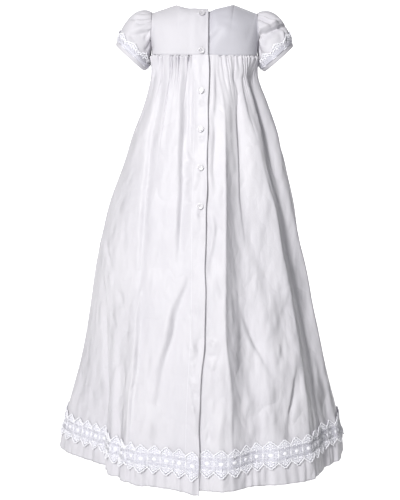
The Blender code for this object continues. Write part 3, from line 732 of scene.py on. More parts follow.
@dataclass(frozen=True)
class SatinFinish:
    """Glossy white satin with a fine weave and soft crushed places."""

    name: str = "satin"
    light: tuple[float, float, float] = (0.650, 0.640, 0.675)
    dim: tuple[float, float, float] = (0.605, 0.595, 0.635)
    roughness: float = 0.45
    thread: float = 0.00045
    crush: float = 0.55
    crushed_depth: float = 0.022
    ridge_depth: float = 0.016
    crinkle_depth: float = 0.0040
    small_depth: float = 0.0008
    weave_depth: float = 0.00003

    def make(self) -> bpy.types.Material:
        """Make the material."""
        paint = Paint(self.name)
        across, along = paint.cloth_axes()
        turn = TURN / self.thread
        weave = (across * turn).sine() * 0.5 + (along * turn).sine() * 0.5
        small = paint.noise((90, 90, 26), 3.0)
        crinkle = abs(paint.noise((48, 48, 24), 1.0) - 0.5)
        # the cloth is crushed more the lower it hangs
        low = 1.6 - paint.axis(paint.place(), 2).above(-0.45, 0.35)
        crushed = paint.noise((20, 20, 7)) * low
        ridged = abs(paint.noise((13, 13, 9)) - 0.5) * low
        colour = paint.blend(paint.noise((7, 7, 4)).above(0.5, 0.25), self.light, self.dim)
        relief = None
        for height, depth, strength in ((crushed, self.crushed_depth, self.crush),
                                        (ridged, self.ridge_depth, self.crush),
                                        (crinkle, self.crinkle_depth, self.crush),
                                        (small, self.small_depth, self.crush),
                                        (weave, self.weave_depth, 0.5)):
            relief = paint.bump(height, depth, strength, relief)
        return paint.finish(
            {"Sheen Weight": 0.05, "Sheen Roughness": 0.4, "Specular IOR Level": 0.30},
            {"Base Color": colour, "Roughness": small * 0.10 + (self.roughness - 0.05),
             "Normal": relief})


@dataclass(frozen=True)
class LaceFinish:
    """Soft white thread; the ground has the dimples of an even net, with painted shade in the net's
    holes.
    """

    name: str = "lace"
    bright: tuple[float, float, float] = (0.90, 0.90, 0.94)
    shade: tuple[float, float, float] = (0.56, 0.55, 0.62)
    net: float = 0.0
    twist: float = 0.0006

    def make(self) -> bpy.types.Material:
        """Make the material."""
        paint = Paint(self.name)
        fine = paint.noise((1, 1, 1), scale=1 / self.twist)
        if self.net:
            across, along = paint.cloth_axes()
            turn = TURN / self.net
            # the net's holes are painted dark: painted shade of the satin seen through them
            hole_shade_and_flecks = ((across + along) * turn).sine() * ((across - along) * turn).sine()
            hole_shade_and_flecks = hole_shade_and_flecks.above(0.35, 0.3)
        else:
            # without a net: darker flecks of the twisted thread, at random
            hole_shade_and_flecks = fine.above(0.62, 0.2) * 0.5
        relief = paint.bump(fine - hole_shade_and_flecks, 0.0003, 0.6)
        return paint.finish({"Roughness": 0.78, "Sheen Weight": 0.1},
                            {"Base Color": paint.blend(hole_shade_and_flecks, self.bright, self.shade),
                             "Normal": relief})


@dataclass(frozen=True)
class PearlFinish:
    """Pale pearly plastic of the buttons."""

    name: str = "button"
    light: tuple[float, float, float] = (0.66, 0.65, 0.67)
    deep: tuple[float, float, float] = (0.52, 0.51, 0.55)

    def make(self) -> bpy.types.Material:
        """Make the material."""
        paint = Paint(self.name)
        cloud = paint.noise((240, 240, 240), 3.0)
        return paint.finish({"Coat Weight": 0.3, "Coat Roughness": 0.12},
                            {"Base Color": paint.blend(cloud.above(0.5, 0.2), self.light,
                                                       self.deep),
                             "Roughness": cloud * 0.12 + 0.24})


@dataclass(frozen=True)
class Finishes:
    """The finished materials of the gown."""

    satin: bpy.types.Material
    calm: bpy.types.Material
    shaded: bpy.types.Material
    ground: bpy.types.Material
    thread: bpy.types.Material
    pearl: bpy.types.Material

    @classmethod
    def make(cls) -> "Finishes":
        """Make all of them."""
        kinds = {
            "satin": SatinFinish(),
            "calm": SatinFinish("satin_calm", (0.625, 0.615, 0.65), (0.595, 0.585, 0.625),
                                0.58, crush=0.18),
            # the same satin painted darker: painted shade for the back piece on the wearer's right,
            # which the key light from the left leaves in shade
            "shaded": SatinFinish("satin_cross_grain", (0.55, 0.545, 0.59),
                                  (0.51, 0.505, 0.555), 0.48, crush=0.13),
            # the ground's dark colour is painted shade in the holes of its net
            "ground": LaceFinish("lace_ground", (0.78, 0.78, 0.85), (0.20, 0.19, 0.26),
                                 net=0.0046),
            "thread": LaceFinish("lace_thread"),
            "pearl": PearlFinish()}
        return cls(**{part: kind.make() for part, kind in kinds.items()})


# Working with meshes

def nothing_selected() -> None:
    """Deselect every object."""
    if bpy.context.object and bpy.context.object.mode != "OBJECT":
        bpy.ops.object.mode_set(mode="OBJECT")
    bpy.ops.object.select_all(action="DESELECT")


def only(piece: bpy.types.Object) -> None:
    """Select one object and make it active."""
    nothing_selected()
    piece.select_set(True)
    bpy.context.view_layer.objects.active = piece


def joined(pieces: list[bpy.types.Object], name: str) -> bpy.types.Object:
    """Join objects into one with its place in its mesh."""
    nothing_selected()
    for piece in pieces:
        piece.select_set(True)
    bpy.context.view_layer.objects.active = pieces[0]
    bpy.ops.object.join()
    made = bpy.context.object
    bpy.ops.object.transform_apply(location=True, rotation=True, scale=True)
    made.name = made.data.name = name
    return made


def modify(piece: bpy.types.Object, kind: str, **settings: object) -> None:
    """Add a modifier and apply it.

    Args:
        piece: The object.
        kind: The modifier's type.
        settings: The modifier's properties.
    """
    only(piece)
    modifier = piece.modifiers.new(kind.lower(), kind)
    for key, setting in settings.items():
        setattr(modifier, key, setting)
    bpy.ops.object.modifier_apply(modifier=modifier.name)


def line_up(piece: bpy.types.Object, count: int, step: tuple[float, float, float]) -> None:
    """Repeat a mesh, each copy a step on from the last."""
    modify(piece, "ARRAY", count=count, use_relative_offset=False,
           use_constant_offset=True, constant_offset_displace=step)


def edit_all(piece: bpy.types.Object, operation: Callable[[], object]) -> None:
    """Run an operation of edit mode on a whole mesh."""
    only(piece)
    bpy.ops.object.mode_set(mode="EDIT")
    bpy.ops.mesh.select_all(action="SELECT")
    operation()
    bpy.ops.object.mode_set(mode="OBJECT")


def cord(points: list[tuple[float, float]], radius: float, height: float,
         closed: bool = False) -> bpy.types.Object:
    """A round cord through points of a flat piece.

    Args:
        points: Places across and up, in metres.
        radius: Radius of the cord.
        height: Height of its centre over the ground.
        closed: Whether it is a ring.

    Returns:
        The cord as a mesh.
    """
    nothing_selected()
    bpy.ops.curve.primitive_nurbs_path_add()
    made = bpy.context.object
    curve = made.data
    curve.splines.clear()
    spline = curve.splines.new("POLY")
    spline.points.add(len(points) - 1)
    for point, (x, y) in zip(spline.points, points):
        point.co = (x, y, height, 1.0)
    spline.use_cyclic_u = closed
    curve.bevel_depth, curve.bevel_resolution, curve.use_fill_caps = radius, 0, True
    only(made)
    bpy.ops.object.convert(target="MESH")
    return bpy.context.object


def get_points(piece: bpy.types.Object) -> np.ndarray:
    """Positions of a mesh's vertices."""
    flat = np.empty(3 * len(piece.data.vertices))
    piece.data.vertices.foreach_get("co", flat)
    return flat.reshape(-1, 3)


def set_points(piece: bpy.types.Object, points: np.ndarray) -> None:
    """Place a mesh's vertices."""
    piece.data.vertices.foreach_set("co", points.ravel())
    piece.data.update()


def dress(piece: bpy.types.Object, material: bpy.types.Material,
          nodes: tuple[str, ...] = ()) -> bpy.types.Object:
    """Give a piece its finish and its place in the frame.

    Args:
        piece: The finished object.
        material: Its material.
        nodes: CAD nodes that it stands for.

    Returns:
        The same object.
    """
    piece.data.materials.clear()
    piece.data.materials.append(material)
    only(piece)
    bpy.ops.object.shade_smooth()
    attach(piece, ROOT)
    if nodes:
        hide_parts(*nodes)
    return piece


@dataclass
class Cloth:
    """A thin sheet of cloth laid on a form by a placing rule."""

    name: str
    columns: np.ndarray
    rows: np.ndarray
    size: tuple[float, float]
    thickness: float = 0.0007

    def make(self, place: Callable[[np.ndarray, np.ndarray], np.ndarray],
             closed: bool = False) -> bpy.types.Object:
        """Lay the sheet.

        Args:
            place: Gives a point for shares across and down, outer face first.
            closed: Whether the last column meets the first.

        Returns:
            The sheet with its wall applied.
        """
        wide, deep = len(self.columns), len(self.rows)
        nothing_selected()
        bpy.ops.mesh.primitive_grid_add(x_subdivisions=wide - 1, y_subdivisions=deep - 1,
                                        size=1.0, calc_uvs=True)
        piece = bpy.context.object
        piece.name = piece.data.name = self.name
        grid = get_points(piece)
        column = np.rint((grid[:, 0] + 0.5) * (wide - 1)).astype(int)
        row = np.rint((grid[:, 1] + 0.5) * (deep - 1)).astype(int)
        across, down = self.columns[column], self.rows[row]
        set_points(piece, place(across, down))
        uv = piece.data.uv_layers.active
        uv.name = "UVMap"
        loops = np.empty(len(piece.data.loops), int)
        piece.data.loops.foreach_get("vertex_index", loops)
        flat = np.stack([across[loops] * self.size[0], down[loops] * self.size[1]], -1)
        uv.data.foreach_set("uv", flat.ravel())
        if closed:
            edit_all(piece, lambda: bpy.ops.mesh.remove_doubles(threshold=1e-6))
        self.face_outwards(piece)
        modify(piece, "SOLIDIFY", thickness=self.thickness, offset=-1.0)
        return piece

    def face_outwards(self, piece: bpy.types.Object) -> None:
        """Turn the sheet's faces outwards if the placing rule turned them in."""
        middle = get_points(piece).mean(axis=0)
        count = len(piece.data.polygons)
        centres, normals = np.empty(3 * count), np.empty(3 * count)
        piece.data.polygons.foreach_get("center", centres)
        piece.data.polygons.foreach_get("normal", normals)
        centres, normals = centres.reshape(-1, 3), normals.reshape(-1, 3)
        inside = np.array([self.axis_x(middle), 0.0, middle[2]])
        if np.sum((centres - inside) * normals) < 0:
            edit_all(piece, bpy.ops.mesh.flip_normals)

    def axis_x(self, middle: np.ndarray) -> float:
        """Where the hollow's axis passes, in x: a sleeve has its own."""
        return middle[0] if "sleeve" in self.name else 0.0


# Sub-assemblies

@dataclass
class SkirtPanel:
    """One gathered panel of the skirt, from a side seam to its other edge, in degrees."""

    form: GownForm
    name: str
    start: float
    end: float
    edge: Opening
    gathers: int
    scallops: int
    seed: int
    gather: float = 0.0030
    plain: float = 0.020
    pucker: float = 0.0012
    tuck: float = 0.00025
    puff_drop: float = 0.016
    seam_gap: float = 0.0022
    wave: float = 0.0010

    def __post_init__(self) -> None:
        """Spread the columns at the waist and at the hem, and vary the gathers."""
        self.shares = np.linspace(0, 1, 721)
        first, last = math.radians(self.start), math.radians(self.end)
        self.at_waist = self.form.even_spread(first, last, 0.0, self.shares)
        self.at_hem = self.form.even_spread(first, last, SKIRT_LENGTH, self.shares)
        chance = np.random.default_rng(self.seed)
        count = self.gathers + 2
        self.puffs = chance.uniform(0.4, 1.0, count)
        self.depths = chance.uniform(0.20, 1.0, count) ** 1.5
        self.reach = 0.014 + 0.125 * chance.uniform(0, 1, count) ** 2
        self.widths = chance.uniform(0.09, 0.22, count)
        self.jitter = chance.uniform(-0.42, 0.42, count)
        self.drift = chance.uniform(-9.0, 9.0, count)

    @property
    def upper(self) -> bool:
        """Whether this is the lapping back panel."""
        return self.edge is Opening.UPPER

    @property
    def back(self) -> bool:
        """Whether this is one of the two back panels."""
        return self.edge is not Opening.NONE

    def angles(self, share: np.ndarray, drop: np.ndarray) -> np.ndarray:
        """Angles of points at shares across the panel.

        Args:
            share: 0 at the side seam, 1 at the other edge.
            drop: Drops below the waist seam.

        Returns:
            Angles from the back centre.
        """
        first, last = math.radians(self.start), math.radians(self.end)
        waist = np.interp(share, self.shares, self.at_waist)
        hem = np.interp(share, self.shares, self.at_hem)
        down = drop / SKIRT_LENGTH
        angle = waist * (1 - down) + hem * down
        if self.back:
            middle = np.zeros_like(drop)
            reach = self.form.read(self.edge.value, drop)
            if self.upper:
                reach = reach + self.wave * np.sin(drop * 47) * np.sin(drop * 19 + 0.7)
            reach = reach / self.form.radius(middle, drop)
            angle = first + (angle - first) * (reach - first) / (last - first)
        return angle

    def gather_height(self, share: np.ndarray, drop: np.ndarray,
                      x: np.ndarray) -> np.ndarray:
        """Height of the gathers: small puffs, with creases of many lengths between.

        Args:
            share: Shares across the panel.
            drop: Drops along the cloth.
            x: Places in x, which keep the gathers clear of the lap.

        Returns:
            Outward heights.
        """
        phase = (share * self.gathers + 0.34 * np.sin(share * 27 + self.seed)
                 + 0.14 * np.sin(share * 61))
        index = np.clip(phase.astype(int), 0, self.gathers)
        pipe = (0.5 - 0.5 * np.cos(TURN * phase)) ** 0.5
        below = np.maximum(drop - self.seam_gap, 0)
        total = (self.puffs[index] * pipe * np.exp(-drop / self.puff_drop)
                 * (1 - np.exp(-(below / 0.0020) ** 2)))
        for step in (-1, 0, 1, 2):
            near = np.clip(index + step, 0, self.gathers + 1)
            apart = phase - near - self.jitter[near] - self.drift[near] * drop
            crease = np.exp(-(apart / self.widths[near]) ** 2)
            total = total - (self.depths[near] * crease
                             * np.exp(-(drop / self.reach[near]) ** 1.6))
        aside = share if self.back else np.minimum(share, 1 - share)
        clear = 0.2 + 0.8 * smooth_step(aside / 0.05)
        if self.back:
            clear = clear * smooth_step((np.abs(x) - self.plain) / 0.007)
        return self.gather * total * clear + self.hem_puckers(share, drop)

    def hem_puckers(self, share: np.ndarray, drop: np.ndarray) -> np.ndarray:
        """Small uneven puckers of the turned hem."""
        phase = share * self.scallops
        wave = (np.sin(4.1 * phase + 1.3 * np.sin(2.3 * phase + self.seed))
                + 0.7 * np.sin(9.7 * phase + 2.0 * np.sin(1.7 * phase)))
        low = smooth_step((drop - 0.70) / 0.05) * (1 - 0.5 * smooth_step((drop - 0.76) / 0.02))
        return self.pucker * wave * low

    def place(self, share: np.ndarray, drop: np.ndarray,
              out: np.ndarray | float = 0.0) -> np.ndarray:
        """A point of the panel.

        Args:
            share: Shares across the panel.
            drop: Drops along the cloth.
            out: Height over the outer face.

        Returns:
            Points.
        """
        angle = self.angles(share, drop)
        level = self.form.dipped(angle, drop, self.upper)
        point = self.form.skirt(angle, level, self.upper)
        normal = self.form.skirt_normal(angle, level, self.upper)
        height = (self.gather_height(share, drop, point[..., 0])
                  - self.tuck * np.exp(-(drop / 0.0026) ** 4))
        return point + height[..., None] * normal + np.asarray(out)[..., None] * normal

    def build(self, finish: bpy.types.Material) -> bpy.types.Object:
        """Lay the satin of the panel, with its rows closest at the waist."""
        per_gather, first, second, third = (9, 26, 34, 152) if self.back else (5, 16, 22, 105)
        columns = np.linspace(0, 1, self.gathers * per_gather + 1)
        rows = np.concatenate([np.linspace(0, 0.05, first)[:-1],
                               np.linspace(0.05, 0.16, second)[:-1],
                               np.linspace(0.16, SKIRT_LENGTH, third)])
        rows[0] = 0.0002
        cut, area = ((0.46, 0.79), 0.265) if self.back else ((0.94, 0.79), 0.545)
        cloth = Cloth(self.name + "_satin", columns, rows, (cut[0], 1.0))
        piece = cloth.make(self.place)
        return dress(piece, finish, (self.name,))


@dataclass
class ScallopLace:
    """A band of lace with pointed scallops, modelled once and laid along a form."""

    pitch: float = LACE_PITCH
    half: float = 0.0250
    valley: float = 0.0135
    ground_lift: float = 0.0007
    curl: float = 0.0024
    thickness: float = 0.0004

    def edge_height(self, share: np.ndarray) -> np.ndarray:
        """Half width of the band at shares of a repeat: a pointed scallop."""
        near = 1 - np.abs(2 * (share % 1.0) - 1)
        return self.valley + (self.half - self.valley) * near ** 0.85

    def petal(self, x: float, y: float, length: float, width: float,
              turn: float) -> bpy.types.Object:
        """A padded petal of close stitches."""
        nothing_selected()
        bpy.ops.mesh.primitive_uv_sphere_add(
            segments=8, ring_count=5, radius=0.5, location=(x, y, 0.0002),
            rotation=(0, math.pi / 2, 0))
        made = bpy.context.object
        bpy.ops.object.transform_apply(location=False, rotation=True, scale=False)
        made.scale = (length, width, 0.0022)
        made.rotation_euler = (0, 0, turn)
        bpy.ops.object.transform_apply(location=False, rotation=True, scale=True)
        return made

    def ring(self, x: float, y: float, radius: float, thick: float) -> bpy.types.Object:
        """A stitched ring round an eyelet."""
        nothing_selected()
        bpy.ops.mesh.primitive_torus_add(
            location=(x, y, 0.0004), major_radius=radius, minor_radius=thick,
            major_segments=12, minor_segments=5)
        return bpy.context.object

    def picot_edge(self, sign: int) -> list[tuple[float, float]]:
        """Points of the scalloped border with its small loops."""
        shares = np.linspace(0, 1, 41)
        wave = 0.0019 * np.abs(np.sin(shares * 6 * math.pi))
        heights = self.edge_height(shares) - 0.0006 + wave
        return [(share * self.pitch, sign * height)
                for share, height in zip(shares, heights)]

    def flower(self, x: float, y: float, sign: int) -> list[bpy.types.Object]:
        """An eyelet with six petals and two leaves."""
        made = [self.ring(x, y, 0.0016, 0.00060)]
        reach = 0.0044
        for index in range(6):
            turn = math.pi / 2 * sign + index * math.pi / 3
            made.append(self.petal(x + reach * math.cos(turn), y + reach * math.sin(turn),
                                   0.0042, 0.0030, turn))
        for hand in (-1, 1):
            made.append(self.petal(x + hand * 0.0072, y - sign * 0.0030, 0.0050, 0.0020,
                                   hand * sign * -0.8))
        return made

    def repeat(self, both: bool) -> bpy.types.Object:
        """The embroidery of one repeat, flat, with its middle line at y 0.

        Args:
            both: Whether both edges are scalloped, as on the hem band.

        Returns:
            One joined mesh, a repeat wide.
        """
        made = []
        for sign in ((1, -1) if both else (1,)):
            made.append(cord(self.picot_edge(sign), 0.00125, 0.0010))
            made.append(cord(self.zigzag(12, sign * 0.0055, sign * 0.0108), 0.00048, 0.0004))
            shares = np.linspace(0, 1, 17)
            inner = [(share * self.pitch, sign * (height - 0.0034)) for share, height
                     in zip(shares, self.edge_height(shares))]
            made.append(cord(inner, 0.00065, 0.0005))
            made += self.flower(self.pitch / 2, sign * 0.0150, sign)
            made.append(cord(self.zigzag(1, sign * 0.0046, sign * 0.0046), 0.00055, 0.0003))
        if both:
            made.append(self.petal(self.pitch / 2, 0.0, 0.0088, 0.0072, 0.0))
            made.append(self.petal(0.0, 0.0, 0.0032, 0.0060, 0.0))
            for sign in (1, -1):
                made.append(cord(self.zigzag(4, sign * 0.0042, sign * -0.0042),
                                 0.00050, 0.0004))
        else:
            made.append(cord(self.zigzag(1, 0.0008, 0.0008), 0.0008, 0.0004))
        return joined(made, "lace_repeat")

    def zigzag(self, steps: int, first: float, second: float) -> list[tuple[float, float]]:
        """Points across one repeat that step between two heights."""
        return [(step * self.pitch / steps, second if step % 2 else first)
                for step in range(steps + 1)]

    def lift(self, up: np.ndarray) -> np.ndarray:
        """How far the band stands off the cloth, more at its free edges."""
        rise = np.where(up > 0, 0.4, 1.0) * self.curl
        return self.ground_lift + rise * (np.abs(up) / self.half) ** 2

    def lay(self, name: str, count: int, both: bool,
            place: Callable[[np.ndarray, np.ndarray, np.ndarray], np.ndarray],
            finishes: Finishes, node: str, flat_length: float,
            closed: bool = False) -> list[bpy.types.Object]:
        """Lay the ground and the embroidery along a form.

        Args:
            name: Name of the band.
            count: Number of repeats.
            both: Whether both edges are scalloped.
            place: Gives a point for shares along, height up the band and height out.
            finishes: The gown's materials.
            node: CAD node that the band stands for.
            flat_length: Length of the cut lace.
            closed: Whether the band meets itself.

        Returns:
            The ground and the embroidery.
        """
        repeat = self.repeat(both)
        line_up(repeat, count, (self.pitch, 0, 0))
        flat = get_points(repeat)
        share = flat[:, 0] / (self.pitch * count)
        out = flat[:, 2] + self.lift(flat[:, 1]) + self.thickness
        set_points(repeat, place(share, flat[:, 1], out))
        repeat.name = repeat.data.name = name + "_embroidery"
        dress(repeat, finishes.thread)
        columns = np.linspace(0, 1, count * 10 + 1)
        rows = np.linspace(0, 1, 11 if both else 7)
        low = -1.0 if both else 0.0
        width = 2 * self.half if both else self.half

        def on_ground(across: np.ndarray, down: np.ndarray) -> np.ndarray:
            """Place the ground within the scalloped outline."""
            edge = self.edge_height(across * count) - 0.0004
            up = edge * (1 + (low - 1) * down)
            return place(across, up, self.lift(up))

        ground = Cloth(name + "_ground", columns, rows, (flat_length, width),
                       self.thickness).make(on_ground, closed)
        0.8 * flat_length * width
        dress(ground, finishes.ground, (node,))
        return [ground, repeat]


@dataclass
class Bodice:
    """The short yoke: a front and two back pieces that lap."""

    form: GownForm
    neck_half: float = 0.053
    back_neck: tuple[float, float] = (0.035, 0.0095)
    front_neck: tuple[float, float] = (0.047, 0.036)
    tip: tuple[float, float, float] = (0.096, 0.0, -0.0145)
    corners: tuple[float, float] = (0.42, 0.68)
    half_arc: float = 0.140

    def __post_init__(self) -> None:
        """Lay smooth curves through the control table."""
        places = [0.0, 0.12, 0.24, 0.33, 0.42, 0.55, 0.68, 0.84, 1.0, 1.2]
        kept = [1.0, 0.95, 0.93, 0.93, 0.92, 0.93, 0.94, 0.96, 0.97, 0.97]
        below = [0.007, 0.011, 0.018, 0.016, 0.004, 0.001, 0.002, 0.008, 0.012, 0.012]
        self.kept, self.below = SmoothTable(places, kept), SmoothTable(places, below)
        self.shares = np.linspace(0, 1, 181)
        self.spread = {back: self.form.even_spread(math.pi / 2, 0.0 if back else math.pi,
                                                   0.0, self.shares)
                       for back in (True, False)}

    def top_edge(self, place: np.ndarray, side: np.ndarray, back: bool) -> np.ndarray:
        """The top edge from underarm over the shoulder to the centre."""
        out = -1.0 if back else 1.0
        turn = math.pi * np.clip(place / self.corners[0], 0, 1)
        arm = np.stack([ARMHOLE[0] + 0.001 * np.cos(turn),
                        out * ARMHOLE_HALF[0] * np.sin(turn),
                        ARMHOLE[1] - ARMHOLE_HALF[1] * np.cos(turn)], -1)
        run = np.clip((place - self.corners[0]) / (self.corners[1] - self.corners[0]), 0, 1)
        run = run[..., None]
        shoulder = np.array(self.tip) * (1 - run) + np.array([self.neck_half, 0, 0]) * run
        depth, fall = self.back_neck if back else self.front_neck
        turn = math.pi / 2 * np.maximum(place - self.corners[1], 0) / (1 - self.corners[1])
        past = math.pi / 2 + np.arcsin(np.clip((place - 1) * self.half_arc / self.neck_half,
                                               0, 1))
        turn = np.where(place > 1, past, turn)
        neck = np.stack([self.neck_half * np.cos(turn), out * depth * np.sin(turn),
                         -fall * np.sin(turn) ** 2], -1)
        place = place[..., None]
        point = np.where(place < self.corners[0], arm,
                         np.where(place < self.corners[1], shoulder, neck))
        return point * np.stack([side, np.ones_like(side), np.ones_like(side)], -1)

    def face(self, place: np.ndarray, rise: np.ndarray, side: np.ndarray,
             back: bool) -> np.ndarray:
        """A point of the plain outer face: rise 0 at the waist, 1 at the top."""
        half = self.spread[back]
        angle = np.where(place <= 1, np.interp(place, self.shares, half),
                         half[-1] + (place - 1) * (half[-1] - half[-2]) * 180)
        radius = self.form.radius(angle, np.zeros_like(angle))
        foot = np.stack([side * radius * np.sin(angle), -radius * np.cos(angle),
                         np.full_like(angle, WAIST_Z)], -1)
        top = self.top_edge(place, side, back)
        control = np.stack([(foot[..., 0] + top[..., 0]) / 2, foot[..., 1] * self.kept(place),
                            top[..., 2] - self.below(place)], -1)
        rise = rise[..., None]
        return foot * (1 - rise) ** 2 + control * 2 * rise * (1 - rise) + top * rise ** 2

    def normal(self, place: np.ndarray, rise: np.ndarray, side: np.ndarray,
               back: bool) -> np.ndarray:
        """Outward normal of the plain face."""
        place, rise = np.maximum(place, 0.002), np.clip(rise, 0, 0.985)
        here = self.face(place, rise, side, back)
        normal = unit(np.cross(self.face(place + 1e-3, rise, side, back) - here,
                               self.face(place, rise + 1e-3, side, back) - here))
        out = np.sum(normal * (here - np.array([0, 0, WAIST_Z])), axis=-1, keepdims=True)
        return normal * np.where(out < 0, -1.0, 1.0)

    def creases(self, x: np.ndarray, z: np.ndarray, back: bool) -> np.ndarray:
        """Soft strain folds of the yoke, by place in the picture plane."""
        rows = (((0.042, 0.030), (0.050, -0.130), 0.0045, 0.026),
                ((-0.004, -0.088), (0.036, -0.036), -0.0030, 0.006),
                ((0.006, 0.014), (0.008, -0.062), -0.0024, 0.008),
                ((0.012, -0.020), (0.070, -0.050), -0.0014, 0.007),
                ((0.012, -0.016), (0.060, -0.024), -0.0012, 0.006),
                ((0.010, -0.078), (0.075, -0.066), -0.0010, 0.006),
                ((-0.014, -0.076), (-0.070, -0.060), -0.0009, 0.007),
                ((-0.016, -0.020), (-0.055, -0.034), -0.0008, 0.007),
                ((0.088, -0.030), (0.070, -0.080), -0.0010, 0.006),
                ((-0.088, -0.030), (-0.074, -0.082), -0.0008, 0.006))
        total = np.zeros_like(x)
        for (x0, z0), (x1, z1), height, width in rows:
            if not back:
                x0, x1 = -x0, -x1
            total += crease_height(x - x0, z - z0, (x1 - x0, z1 - z0), height, width)
        return total

    def point(self, place: np.ndarray, rise: np.ndarray, side: np.ndarray, back: bool,
              upper: bool) -> np.ndarray:
        """A point of the dressed face, with its lap, creases and turned edges."""
        here = self.face(place, rise, side, back)
        normal = self.normal(place, rise, side, back)
        raised = self.form.lap(here[..., 0], np.zeros_like(place), upper)
        raised = raised + (self.creases(here[..., 0], here[..., 2], back)
                           * smooth_step(rise / 0.30))
        raised = raised - 0.0001 * np.exp(-rise / 0.02) - 0.0002 * np.exp((rise - 1) / 0.015)
        return here + raised[..., None] * normal

    def build(self, finishes: Finishes) -> list[bpy.types.Object]:
        """Lay the three pieces of the yoke."""
        made = []
        rows = np.linspace(-0.016, 1, 41)
        for side in Side:
            upper = side is Side.LEFT
            reach = self.form.read("upper" if upper else "under", np.array(0.0)) * (
                1 if upper else -1)
            last = 1 + float(reach) / self.half_arc
            columns = self.columns(last)
            sign = float(side.value)

            def place(share: np.ndarray, rise: np.ndarray, sign: float = sign,
                      upper: bool = upper) -> np.ndarray:
                """Place one back piece."""
                return self.point(share, rise, np.full_like(share, sign), True, upper)

            node = "bodice_back_" + side.word
            cloth = Cloth(node + "_satin", columns, rows, (0.15, 0.095))
            piece = cloth.make(place)
            # the under back piece on the wearer's right takes the satin painted darker, as painted
            # shade
            made.append(dress(piece, finishes.calm if upper else finishes.shaded,
                              (node,)))
        half = self.columns(1.0)
        columns = np.concatenate([half, 2 - half[-2::-1]])

        def front(share: np.ndarray, rise: np.ndarray) -> np.ndarray:
            """Place the front piece, both halves in one."""
            side = np.where(share <= 1, -1.0, 1.0)
            return self.point(np.where(share <= 1, share, 2 - share), rise, side, False, False)

        cloth = Cloth("bodice_front_satin", columns, rows, (0.15, 0.095))
        piece = cloth.make(front)
        made.append(dress(piece, finishes.calm, ("bodice_front",)))
        return made

    def columns(self, last: float) -> np.ndarray:
        """Columns of a half with one on each corner of the top edge."""
        parts = [np.linspace(0.0, self.corners[0], 26)[:-1],
                 np.linspace(self.corners[0], self.corners[1], 16)[:-1],
                 np.linspace(self.corners[1], last, 30)]
        return np.concatenate(parts)


